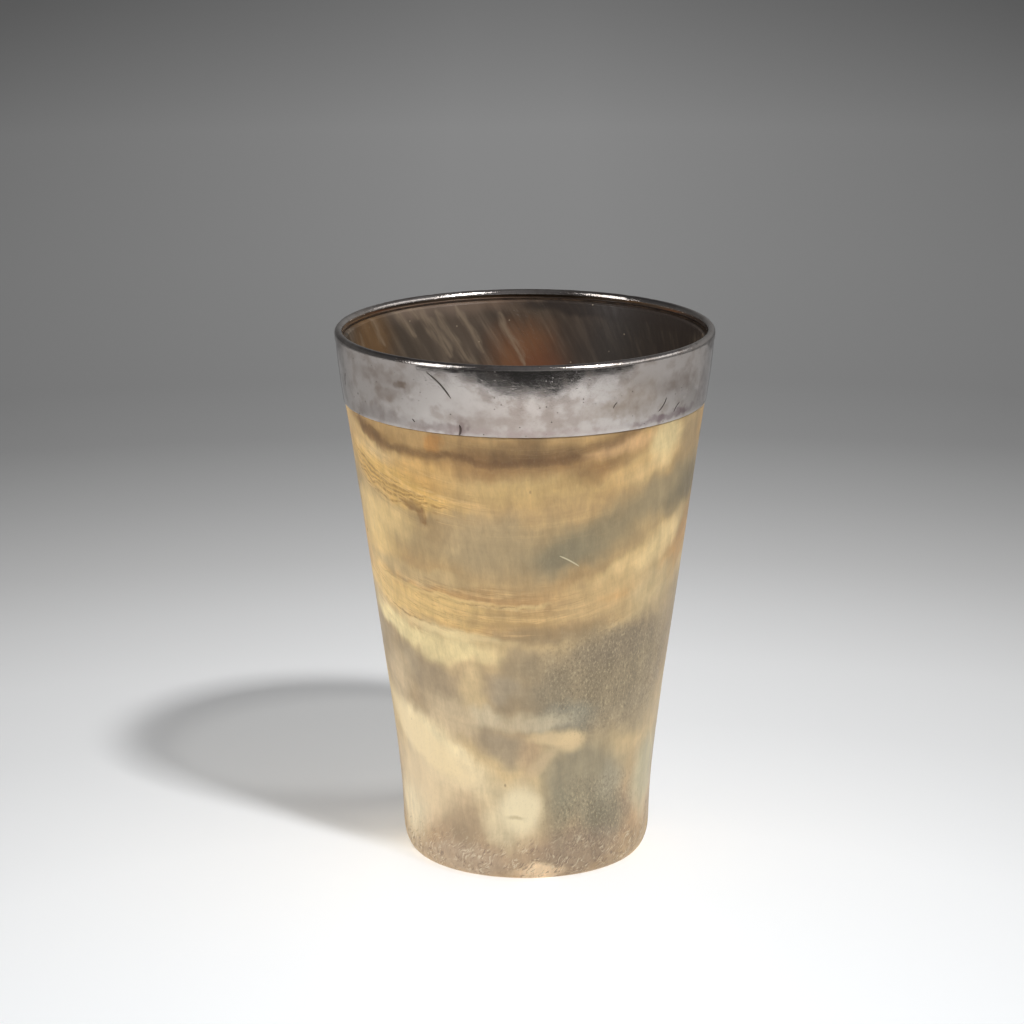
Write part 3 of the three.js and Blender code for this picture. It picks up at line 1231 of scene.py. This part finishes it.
HORN_SCRATCHES = [
    (11.6, 75.0, 18.6, 72.4, 0.3, 0.15),
    (-71, 62.8, -71.4, 61.9, 0.35, 0.0),
]
HORN_SCRATCHES_RADIUS = 35.0

# %% [markdown]
# Thin horn is clear enough for a lamp to shine through it, so the shadow of a horn cup isn't black. The
# light that passes is a Transparent shader that only shadow rays see. More light comes through low down,
# and through the side that is turned to the lamp.

# %% Light through the horn
CLEAR_HORN_TOP = 62.0
CLEAR_HORN_FOOT = 22.0
CLEARER_SIDE = 33.0
CLEARER_BY = 18.0
SHARE_THROUGH_TOP = 0.5
SHARE_THROUGH_FOOT = 0.97
LIGHT_THROUGH_TINT = (252, 251, 248)


def lets_light_through(shader, place):
    """Lets part of the lamps' light pass."""
    tree = place.height.tree
    shadow_ray = add_node("LightPath", output="Is Shadow Ray", tree=tree)
    height = place.height - cosine(place.angle - CLEARER_SIDE) * CLEARER_BY
    share = spread(height, CLEAR_HORN_TOP, CLEAR_HORN_FOOT, SHARE_THROUGH_TOP, SHARE_THROUGH_FOOT)
    clear = add_node("BsdfTransparent", {"Color": shade(*LIGHT_THROUGH_TINT)}, tree=tree)
    mixed = add_node("MixShader", {0: shadow_ray * share, 1: Wire(shader.outputs[0]), 2: clear})
    fill(tree.nodes["Material Output"].inputs["Surface"], mixed)


# %% Parts of the horn's finish
HORN_IOR = 1.54
SHEET_DRAW = 0.07
MARKS_TOP = 12.5
MARKS_FULL = 5.0


def growth_lines(colour, place, nearly, mottle):
    """Fine lines where the layers come to the surface, and how light the broader bands are."""
    x, y = add_node("SeparateXYZ", {0: place.position}, (0, 1))
    sheet_place = add_node("CombineXYZ", {0: x * SHEET_DRAW, 1: y * SHEET_DRAW, 2: layer_height(place)})
    sheets = noise(sheet_place, scale=0.8, detail=3.0, roughness=0.65, warp=0.2)
    lined = spread(patches(nearly, LINED), 0.0, 1.0, 0.03, 1.0)
    line = spread(abs(sheets - 0.5), 0.03, 0.0) * spread(mottle, 0.4, 0.6, 0.1, 1.0)
    colour = lay(colour, line * lined * 0.45, 156, 116, 66)
    glow = spread(abs(sheets - 0.6), 0.05, 0.01)
    colour = lay(colour, glow * lined * 0.4, 228, 190, 132)
    broad = noise(sheet_place, scale=0.42, detail=3.0, roughness=0.6, warp=0.3)
    bands = spread(broad, 0.32, 0.68, 0.84, 1.12, smooth=False)
    banded = spread(lined, 0.0, 1.0, 0.3, 1.0)
    return colour, (bands - 1.0) * banded + 1.0


def flecks(colour, moved, mottle_place):
    """Fine pale and dark flecks where the horn is speckled, and the noise that they come from."""
    speckled = spread(patches(moved, SPECKLED), 0.0, 1.0, 0.12, 1.0)
    grit = noise(mottle_place, scale=2.4, detail=3.0, roughness=0.7)
    colour = lay(colour, spread(grit, 0.54, 0.66) * speckled * 0.38, 214, 196, 156)
    colour = lay(colour, spread(grit, 0.47, 0.36) * speckled * 0.6, 112, 98, 74)
    return colour, grit


def tool_marks(colour, moved):
    """Short slanting marks of the scraper round the foot, their height, and where they lie."""
    position = moved.position
    broken = spread(noise(position, scale=0.45), 0.4, 0.6, 0.15, 1.0)
    zone = spread(moved.height, MARKS_TOP, MARKS_FULL) * broken
    shake = scaled(noise(position, scale=0.3, output="Color"), 3.0)
    shaken = add_node("VectorMath", {0: shake, 1: position}, operation="ADD")
    marks = grain(shaken, width=0.5, length=1.4, twist=-0.03)
    colour = lay(colour, spread(marks, 0.54, 0.62) * zone * 0.65, 214, 200, 172)
    colour = lay(colour, spread(marks, 0.46, 0.38) * zone * 0.7, 118, 98, 82)
    return colour, marks, zone


# %% Horn material
def horn_outside():
    material, shader = new_material("horn outside", IOR=HORN_IOR)
    place = read_place(material)
    position = place.position
    moved = wander(place, size=6.0, angle_drift=9.0, height_drift=5.0, feather=2.2)
    nearly = wander(place, size=3.5, angle_drift=3.5, height_drift=2.0, feather=0.5)
    fibre = grain(position, width=0.7, length=9.0, twist=0.003)
    hair = grain(position, width=0.28, length=3.0, twist=0.004, detail=2.0)
    broad_fibre = grain(position, width=2.4, length=22.0, twist=0.003, detail=2.0)
    mottle_place = stretched(position, 1.0, 1.0, 0.55)
    mottle = noise(mottle_place, scale=0.24, detail=3.0, roughness=0.55, warp=0.5)
    uneven = spread(fibre, 0.25, 0.6, 0.92, 1.0)

    colour = paint(layer_colour(layer_height(moved)), moved, BACK_CLOUDS + HORN_CLOUDS_AND_COLLAR_SHADE, uneven)
    under_collar = strokes(nearly, COLLAR_BAND, COLLAR_BAND_RADIUS, 1.0) * 0.66
    colour = lay(colour, under_collar * uneven, 108, 76, 40)
    brown = strokes(nearly, BROWN_LINES, BROWN_LINES_RADIUS, 0.8)
    colour = lay(colour, brown * spread(fibre, 0.3, 0.6, 0.2, 0.62), 134, 94, 46)
    colour, light = growth_lines(colour, place, nearly, mottle)
    light = light * spread(mottle, 0.32, 0.68, 0.86, 1.12, smooth=False)
    light = light * spread(fibre, 0.3, 0.7, 0.965, 1.035, smooth=False)
    light = light * spread(hair, 0.35, 0.65, 0.97, 1.03, smooth=False)
    light = light * spread(broad_fibre, 0.3, 0.7, 0.93, 1.07, smooth=False)
    colour = paint(scaled(colour, light), nearly, CRISP_CLOUDS, uneven)
    colour, grit = flecks(colour, moved, mottle_place)
    colour, marks, zone = tool_marks(colour, moved)
    pits = specks(position, size=5.0, share=0.3, dot=0.09, stretch=1.6)
    colour = lay(colour, pits * 0.7, 92, 66, 40)
    scratch = strokes(place, HORN_SCRATCHES, HORN_SCRATCHES_RADIUS)
    colour = lay(colour, scratch * 0.6, 226, 214, 176)

    rough = spread(fibre, 0.3, 0.7, 0.34, 0.46, smooth=False) + zone * 0.12
    relief = fibre * 0.22 + marks * zone * 2.2 + grit * 0.3 - pits - scratch * 0.8
    finish(shader, colour, rough, relief, 0.06)
    lets_light_through(shader, place)
    return material


horn_outside_material = horn_outside()
print("horn clouds:", len(HORN_CLOUDS_AND_COLLAR_SHADE), "in front and", len(BACK_CLOUDS), "behind")

# %% [markdown]
# ## Horn, inside
# Inside, the horn is scraped across the layers and polished, and it is nearly the colour of strong tea,
# with pale slanting fibres. It is the same horn as outside, but little light reaches it, so it is darker.

# %% Inside clouds
# The same kind of line as for the clouds outside. Among them are painted glows of light through the wall, and
# painted shade.
INSIDE_CLOUDS_GLOWS_AND_SHADE = [
    # Painted glow of lamp light through the wall, at the back on the left.
    ((116, 88, 58), -116, 106.0, 13, 12.0, 0.85, 0.7),
    ((150, 128, 112), -146, 115.8, 16, 3.6, 0.85, 0.9),
    ((114, 92, 76), -172, 115.2, 14, 2.6, 0.7, 0.9),
    ((98, 83, 70), -156, 110.0, 12, 8.0, 0.6, 0.9),
    ((84, 73, 62), -140, 106.0, 14, 12.0, 0.6),
    # Painted reddish glow of lamp light through the wall, at the back.
    ((118, 80, 54), 180, 101.0, 12, 8.0, 0.85, 0.9),
    ((106, 66, 46), 172, 98.0, 10, 6.0, 0.8, 0.9),
    # Painted shade at the back on the right, with a strip of painted shade under the lip there.
    ((60, 50, 44), 158, 108.0, 12, 10.0, 0.7, 0.9),
    ((46, 40, 36), 128, 108.0, 28, 14.0, 0.95, 0.7),
    ((48, 41, 37), 138, 113.6, 44, 2.2, 0.95, 0.4),
    # Painted shade on the near wall, right and left.
    ((44, 38, 34), 44, 108.0, 44, 9.0, 0.85),
    ((50, 42, 36), -40, 109.0, 34, 7.0),
    ((96, 84, 66), 60, 60.0, 30, 30.0, 0.5, 0.9, 0.3),
    ((114, 94, 68), -60, 50.0, 30, 26.0, 0.5, 0.9, -0.3),
    ((116, 90, 60), 10, 84.0, 34, 14.0, 0.5, 0.9),
]
# Each stroke is its first angle and height, its last angle and height, its width in mm and its bow in mm.
INSIDE_STREAKS = [
    (-118.6, 115.0, -124.4, 108.4, 1.6, 0.2),
    (-131.0, 116.4, -138.6, 108.6, 1.8, -0.3),
    (-136.5, 117.0, -143.4, 112.4, 1.9, 0.2),
    (-141.6, 115.4, -151.4, 105.0, 1.5, 0.4),
    (-144.0, 112.4, -153.6, 103.4, 2.2, -0.3),
    (-148.6, 113.6, -161.8, 101.0, 1.8, 0.5),
    (-156.0, 114.0, -165.2, 103.6, 1.2, -0.2),
    (-170.6, 111.8, -180.6, 100.6, 1.4, 0.3),
    (-108.0, 112.6, -112.4, 105.0, 1.4, 0.2),
]
INSIDE_STREAKS_RADIUS = 38.0


def horn_inside():
    material, shader = new_material("horn inside", IOR=HORN_IOR, Specular_IOR_Level=0.3)
    place = read_place(material)
    position = place.position
    moved = wander(place, size=8.0, angle_drift=10.0, height_drift=4.0, feather=2.0)
    nearly = wander(place, size=6.0, angle_drift=5.0, height_drift=2.0, feather=0.8)
    fibre = grain(position, width=0.8, length=12.0, twist=-0.015)
    pale_fibre = grain(position, width=2.2, length=26.0, twist=-0.015, detail=2.0)
    colour = between(spread(pale_fibre, 0.35, 0.68), (63, 54, 46), (93, 81, 69))
    streak = spread(pale_fibre, 0.56, 0.66) * spread(fibre, 0.4, 0.6, 0.25, 0.6)
    colour = lay(colour, streak * 0.6, 134, 118, 99)
    colour = paint(colour, moved, INSIDE_CLOUDS_GLOWS_AND_SHADE, spread(fibre, 0.25, 0.6, 0.75, 1.0))
    pale_streaks = strokes(nearly, INSIDE_STREAKS, INSIDE_STREAKS_RADIUS, 0.9)
    colour = lay(colour, pale_streaks * spread(fibre, 0.3, 0.65, 0.15, 0.6), 140, 123, 103)
    colour = lay(colour, specks(position, size=1.7, share=0.16, dot=0.13) * 0.5, 190, 172, 146)
    scratches = spread(grain(position, width=0.16, length=5.0, twist=-0.05, detail=1.0), 0.66, 0.72)
    rough = spread(fibre, 0.3, 0.7, 0.34, 0.46, smooth=False)
    finish(shader, colour, rough, fibre * 0.5 - scratches * 0.6, 0.018)
    lets_light_through(shader, place)
    return material


horn_inside_material = horn_inside()
print("clouds and streaks inside:", len(INSIDE_CLOUDS_GLOWS_AND_SHADE), len(INSIDE_STREAKS))


# %% Giving the horn its finishes
def horn_edge():
    """The cut edges: the seat, and the flat ring and skirt of the foot."""
    material, shader = new_material("horn cut edge", IOR=HORN_IOR)
    position = read_place(material).position
    ends = specks(position, size=0.7, share=0.5, dot=0.3)
    cloud = noise(position, scale=0.09, detail=3.0)
    colour = between(spread(cloud, 0.35, 0.65), (176, 148, 104), (138, 116, 88))
    colour = lay(colour, ends * 0.35, 108, 84, 58)
    finish(shader, colour, 0.5, cloud - ends, 0.03)
    return material


OUTSIDE, INSIDE, EDGE = 0, 1, 2
FACES_OUT = 0.05
FACES_IN = -0.8
PAST_GROOVE = 0.1 * MM


def horn_face_kind(face):
    radius = math.hypot(face.center.x, face.center.y)
    outward = (face.normal.x * face.center.x + face.normal.y * face.center.y) / radius
    past_groove = radius > skirt_radius + GROOVE_DEPTH + PAST_GROOVE
    if outward > FACES_OUT and face.center.z < shoulder and past_groove:
        return OUTSIDE
    if face.center.z > horn_top - 2 * MOUTH_CHAMFER or (outward < FACES_IN and face.center.z > disc_top):
        return INSIDE
    return EDGE


finished_in(horn, [horn_outside_material, horn_inside_material, horn_edge()], horn_face_kind)
counts = [sum(face.material_index == kind for face in horn.data.polygons) for kind in (OUTSIDE, INSIDE, EDGE)]
print("horn faces outside, inside and at the cut edges:", counts)

# %% [markdown]
# ## Dark horn of the base disc
# The disc is cut from a flattened plate, so its fibres run straight across it instead of up the wall.


# %% Dark horn material
def dark_horn():
    material, shader = new_material("dark horn", IOR=HORN_IOR)
    position = read_place(material).position
    fibre = noise(stretched(position, 1.0, 0.06, 1.0), scale=0.8, detail=3.0, roughness=0.6)
    cloud = noise(position, scale=0.07, detail=3.0, roughness=0.5, warp=0.4)
    colour = between(spread(cloud, 0.35, 0.66), (70, 56, 44), (112, 90, 62))
    colour = lay(colour, spread(fibre, 0.45, 0.75, 0.0, 0.5), 142, 120, 88)
    colour = lay(colour, specks(position, size=1.6, share=0.2, dot=0.14) * 0.5, 176, 160, 136)
    finish(shader, colour, spread(cloud, 0.3, 0.7, 0.26, 0.42), fibre, 0.03)
    return material


finished_in(disc, [dark_horn()])

# %% [markdown]
# ## Pitch and cement
# Both are the same dull brown stuff: darker where it is thick, greyer where dust has settled in it.


# %% Pitch material
def pitch():
    material, shader = new_material("pitch", IOR=1.5)
    position = read_place(material).position
    lumps = noise(position, scale=0.6, detail=4.0, roughness=0.6)
    colour = between(spread(lumps, 0.35, 0.65), (34, 25, 18), (66, 50, 36))
    colour = lay(colour, specks(position, size=0.8, share=0.3, dot=0.2) * 0.4, 112, 98, 82)
    finish(shader, colour, spread(lumps, 0.3, 0.7, 0.45, 0.75), lumps, 0.12)
    return material


pitch_material = pitch()
finished_in(seal, [pitch_material])
finished_in(cement, [pitch_material])

# %% [markdown]
# ## Silver
# Silver that is handled and rubbed now and then is never evenly bright. It keeps a thin warm tarnish in the
# quiet places, purplish along the lower edge where the cloth doesn't reach, a web of hairlines from
# cleaning, and black dots where the metal is pitted. The top of the lip is rubbed dull and lumpy by use.

# %% Silver details
# The same kind of line as for the horn's clouds.
TARNISH_AND_DARKER_SIDES = [
    ((160, 147, 138), 0, 104.5, 20, 6.5, 0.85, 0.9),
    ((170, 156, 146), -50, 112.0, 12, 1.6, 0.6, 0.9),
    ((176, 160, 144), 36, 109.0, 8, 4.0, 0.6, 0.9),
    ((168, 152, 140), -47, 108.4, 6, 1.6, 0.7),
    ((132, 112, 96), -39.5, 110.8, 2.4, 0.9, 0.7, 0.9),
    ((154, 142, 138), -50, 103.4, 12, 1.5, 0.5, 0.9, -0.02),
    ((150, 136, 132), -26, 103.0, 8, 1.0, 0.7, 0.9),
    ((132, 114, 110), -20, 103.0, 2.2, 1.6, 0.8, 0.9),
    ((170, 152, 148), -4, 102.4, 30, 0.8, 0.5, 0.9),
    ((160, 144, 128), 28, 106.6, 10, 1.6, 0.6, 0.9),
    ((142, 122, 126), 50, 103.0, 14, 0.9, 0.8, 0.8, 0.02),
    ((156, 142, 132), 52, 110.0, 8, 2.0, 0.6, 0.9),
    ((134, 116, 116), 76, 106.0, 8, 3.6, 0.6, 0.9),
    # These two clouds darken the two sides of the collar.
    ((128, 120, 116), 79, 110.0, 11, 7.0),
    ((134, 126, 121), -80, 109.0, 11, 8.0),
    ((146, 126, 108), 120, 106.0, 16, 3.0, 0.7, 0.9),
    ((142, 124, 128), 160, 103.2, 20, 1.2, 0.7),
    ((150, 130, 112), -125, 108.0, 14, 2.6, 0.7, 0.9),
    ((142, 120, 126), -150, 103.2, 22, 1.2, 0.7),
]
# Each stroke is its first angle and height, its last angle and height, its width in mm and its bow in mm.
SILVER_SCRATCHES = [
    (-30.0, 114.6, -22.6, 109.6, 0.34, 0.5),
    (-20.6, 101.6, -20.2, 103.8, 0.5, -0.25),
    (-36.5, 104.0, -35.6, 103.3, 0.24, 0.0),
    (27.0, 107.0, 28.2, 108.2, 0.2, 0.1),
    (44.5, 104.6, 47.5, 107.2, 0.34, -0.3),
    (52.0, 103.6, 54.5, 105.4, 0.3, 0.2),
    (-73.0, 106.8, -71.5, 109.6, 0.4, 0.2),
    (105.0, 104.0, 112.0, 110.0, 0.24, 0.6),
    (-98.0, 110.0, -104.0, 105.0, 0.22, 0.4),
    (144.0, 108.0, 150.0, 107.0, 0.26, 0.3),
]
SILVER_SCRATCHES_RADIUS = 40.0


# %% Silver material
RUBBED_FROM = 115.7
RUBBED_FULL = 116.2


def silver():
    material, shader = new_material("silver", Metallic=1.0)
    place = read_place(material)
    position = place.position
    moved = wander(place, size=2.2, angle_drift=8.0, height_drift=3.4, feather=0.3)
    mottle = noise(position, scale=0.3, detail=3.0, roughness=0.55)
    colour = between(spread(mottle, 0.45, 0.7), (214, 206, 200), (194, 183, 175))
    colour = paint(colour, moved, TARNISH_AND_DARKER_SIDES, spread(mottle, 0.3, 0.6, 0.6, 1.0))
    small_spots = specks(position, size=1.3, share=0.32, dot=0.13)
    big_spots = specks(position, size=5.2, share=0.3, dot=0.07)
    spots = largest(small_spots, big_spots)
    scratch = strokes(place, SILVER_SCRATCHES, SILVER_SCRATCHES_RADIUS)
    dark_marks = largest(spots * 0.7, scratch * 0.85)
    colour = lay(colour, dark_marks, 74, 64, 58)

    hair_up = grain(position, width=0.1, length=5.0, twist=0.02, detail=1.0)
    hair_across = grain(position, width=3.4, length=0.1, twist=-0.01, detail=1.0)
    hairs = largest(spread(hair_up, 0.66, 0.72), spread(hair_across, 0.68, 0.74))
    rough = spread(mottle, 0.35, 0.7, 0.07, 0.13) + hairs * 0.06
    rough = reckon("ADD", rough, dark_marks * 0.3, clamp=True)
    on_lip = spread(place.height, RUBBED_FROM, RUBBED_FULL)
    rubbed = noise(position, scale=3.2, detail=2.0, roughness=0.6) * on_lip
    lumpy = noise(position, scale=1.5, detail=3.0, roughness=0.6)
    relief = lumpy * 0.1 + rubbed * 1.6 - hairs * 0.03 - dark_marks
    finish(shader, colour, rough, relief, 0.025)
    return material


silver_material = silver()
finished_in(collar, [silver_material])
finished_in(lip, [silver_material])

# %% [markdown]
# ## Floor, light and background
# The cup stands on a pale sheet whose colour is a painted pool of light: bright round it, falling off to
# grey. The key light stands in front to the right and high up, so the shadow lies to the left. Three fill
# lights without shadows stand to the left and right. Silver mirrors all that is round it, so what it sees is
# set apart from what lights the cup. It sees a spark light that gives only highlights, a room that is darker
# above and a little brighter to the right, and flat cards on the floor that only reflections see. The dark
# cards draw the dark shape in the middle of the collar.

# %% Floor
FLOOR_SIZE = 9.0
POOL_CENTRE = (0.0, -0.11)
POOL_WIDTH = 0.9
POOL_REACH = -0.8
# Each stop is a distance from the centre of the painted pool of light in m, and the floor's grey there.
PAINTED_POOL_GREYS = [
    (0.0, 250),
    (0.12, 251),
    (0.16, 245),
    (0.2, 238),
    (0.25, 234),
    (0.3, 221),
    (0.35, 203),
    (0.42, 182),
    (0.5, 160),
    (0.58, 156),
    (0.8, 174),
    (1.13, 194),
    (1.7, 178),
]
COOL_NEAR = 5
COOL_REACH = 0.35
SIDE_START = 0.03
SIDE_END = 0.3
SIDE_SHARE = 0.6


def floor_tint(at, grey):
    """The grey of the painted pool of light, painted a little cooler near the cup."""
    cool = COOL_NEAR * max(0, 1 - at / COOL_REACH)
    return (grey, grey + cool / 2, grey + cool)


def pale_floor():
    material, shader = new_material("pale floor", Roughness=0.9)
    here = add_node("TexCoord", output="Object", tree=material.node_tree)
    x, y = add_node("SeparateXYZ", {0: here}, (0, 1))
    back = y - POOL_CENTRE[1]
    back = largest(back, back * POOL_REACH)
    away = long_side((x - POOL_CENTRE[0]) * POOL_WIDTH, back)
    reach = PAINTED_POOL_GREYS[-1][0]
    colour = ramp(away / reach, [(at / reach, floor_tint(at, grey)) for at, grey in PAINTED_POOL_GREYS])
    # Painted falloff of the light towards both sides.
    aside = spread(abs(x), SIDE_START, SIDE_END, 1.0, SIDE_SHARE, smooth=False)
    fill(shader.inputs["Base Color"], scaled(colour, aside))
    return material


begin_with_nothing_selected()
bpy.ops.mesh.primitive_plane_add(size=FLOOR_SIZE)
floor = bpy.context.object
floor.name = "floor"
finished_in(floor, [pale_floor()])

# %% Cards round the cup
# Each card has its grey, the distance of its far edge in mm and its near edge. A point of the edge is a
# direction in degrees, counted from the front to the right, and a distance from the cup's axis in mm.
CARDS = {
    "dark_card": (22, 480, [
        (-66, 350), (-42, 334), (-29, 314), (-22, 294), (-15, 284), (-7, 280), (6, 279), (18, 281), (27, 298),
        (33, 312), (48, 324), (66, 342),
    ]),
    "far_dark_card": (26, 2600, [
        (-42, 480), (-29, 480), (-22, 480), (-15, 480), (-7, 480), (6, 480), (18, 480), (27, 480),
    ]),
    "left_card": (176, 480, [(-160, 330), (-120, 296), (-96, 286), (-80, 290), (-66, 312)]),
    "right_card": (176, 480, [(66, 304), (80, 300), (100, 314), (124, 350), (160, 372)]),
}
CARD_HEIGHT = 2 * MM


def standing_off(direction, distance):
    """The place on the floor in a direction from the front, at a distance from the axis in mm."""
    turn = math.radians(direction)
    return (distance * MM * math.sin(turn), -distance * MM * math.cos(turn), CARD_HEIGHT)


def grey_card(name, grey, reach, near_edge):
    """A flat card just above the floor that only reflections see."""
    corners = [standing_off(*point) for point in near_edge]
    corners += [standing_off(direction, reach) for direction, _ in reversed(near_edge)]
    count = len(near_edge)
    faces = [(i, i + 1, 2 * count - 2 - i, 2 * count - 1 - i) for i in range(count - 1)]
    mesh = bpy.data.meshes.new(name)
    mesh.from_pydata(corners, [], faces)
    card = add_to_scene(name, mesh)
    material, _ = new_material(name, Roughness=0.9, Base_Color=shade(grey, grey, grey))
    finished_in(card, [material])
    card.visible_camera = False
    card.visible_diffuse = False
    card.visible_shadow = False
    card.visible_transmission = False


for name, (grey, reach, near_edge) in CARDS.items():
    grey_card(name, grey, reach, near_edge)
print("cards that only reflections see:", ", ".join(CARDS))

# %% Lights
LOOK_AT = Vector((0, 0, 0.1))


def soft_light(name, azimuth, elevation, distance, width, depth, watts):
    """An area light without a shadow, aimed at the cup. Azimuth counts from the front to the right."""
    turn, lift = math.radians(azimuth), math.radians(elevation)
    way = Vector((math.sin(turn) * math.cos(lift), -math.cos(turn) * math.cos(lift), math.sin(lift)))
    light = add_to_scene(name, bpy.data.lights.new(name, "AREA"))
    light.data.shape = "RECTANGLE"
    light.data.size = width
    light.data.size_y = depth
    light.data.energy = watts
    light.data.use_shadow = False
    light.location = LOOK_AT + way * distance
    light.rotation_quaternion = (-way).to_track_quat("-Z", "Y")
    return light


key = soft_light("key", azimuth=33, elevation=52, distance=1.1, width=0.11, depth=0.1, watts=9.3)
key.data.use_shadow = True
key.visible_glossy = False
spark = soft_light("spark", azimuth=47, elevation=42, distance=1.1, width=0.2, depth=0.6, watts=5.4)
spark.data.use_shadow = True
spark.visible_diffuse = False
soft_light("left", azimuth=-60, elevation=26, distance=1.2, width=0.36, depth=0.9, watts=3.4)
soft_light("right", azimuth=84, elevation=28, distance=1.2, width=1.3, depth=0.4, watts=1.3)
low_left = soft_light("low left", azimuth=-84, elevation=5, distance=1.0, width=0.5, depth=0.5, watts=3.1)
low_left.visible_glossy = False
print("lights:", ", ".join(sorted(light.name for light in bpy.data.lights)))


# %% Room
EVEN_LIGHT = 0.275


def dark_room():
    """Even light for the scene, while camera and reflections see a grey room that is darker above."""
    world = bpy.data.worlds.new("studio")
    bpy.context.scene.world = world
    world.use_nodes = True
    tree = world.node_tree
    rays = add_node("LightPath", None, ("Is Camera Ray", "Is Glossy Ray", "Is Transmission Ray"), tree)
    direction = add_node("TexCoord", output="Generated", tree=tree)
    right, back, up = add_node("SeparateXYZ", {0: direction}, (0, 1, 2))
    front_room = between(spread(up, 0.02, 0.4), (120, 120, 120), (94, 94, 96))
    back_room = between(spread(up, 0.3, 0.7), (112, 112, 112), (70, 70, 72))
    room = blend(spread(back, 0.0, 0.6), front_room, back_room)
    room = scaled(room, spread(right, -0.45, 0.45, 0.5, 1.5, smooth=False))
    colour = blend(largest(*rays), (EVEN_LIGHT, EVEN_LIGHT, EVEN_LIGHT, 1), room)
    fill(tree.nodes["Background"].inputs["Color"], colour)


dark_room()
print("world:", bpy.context.scene.world.name)
bpy.context.scene.view_settings.view_transform = "Standard"
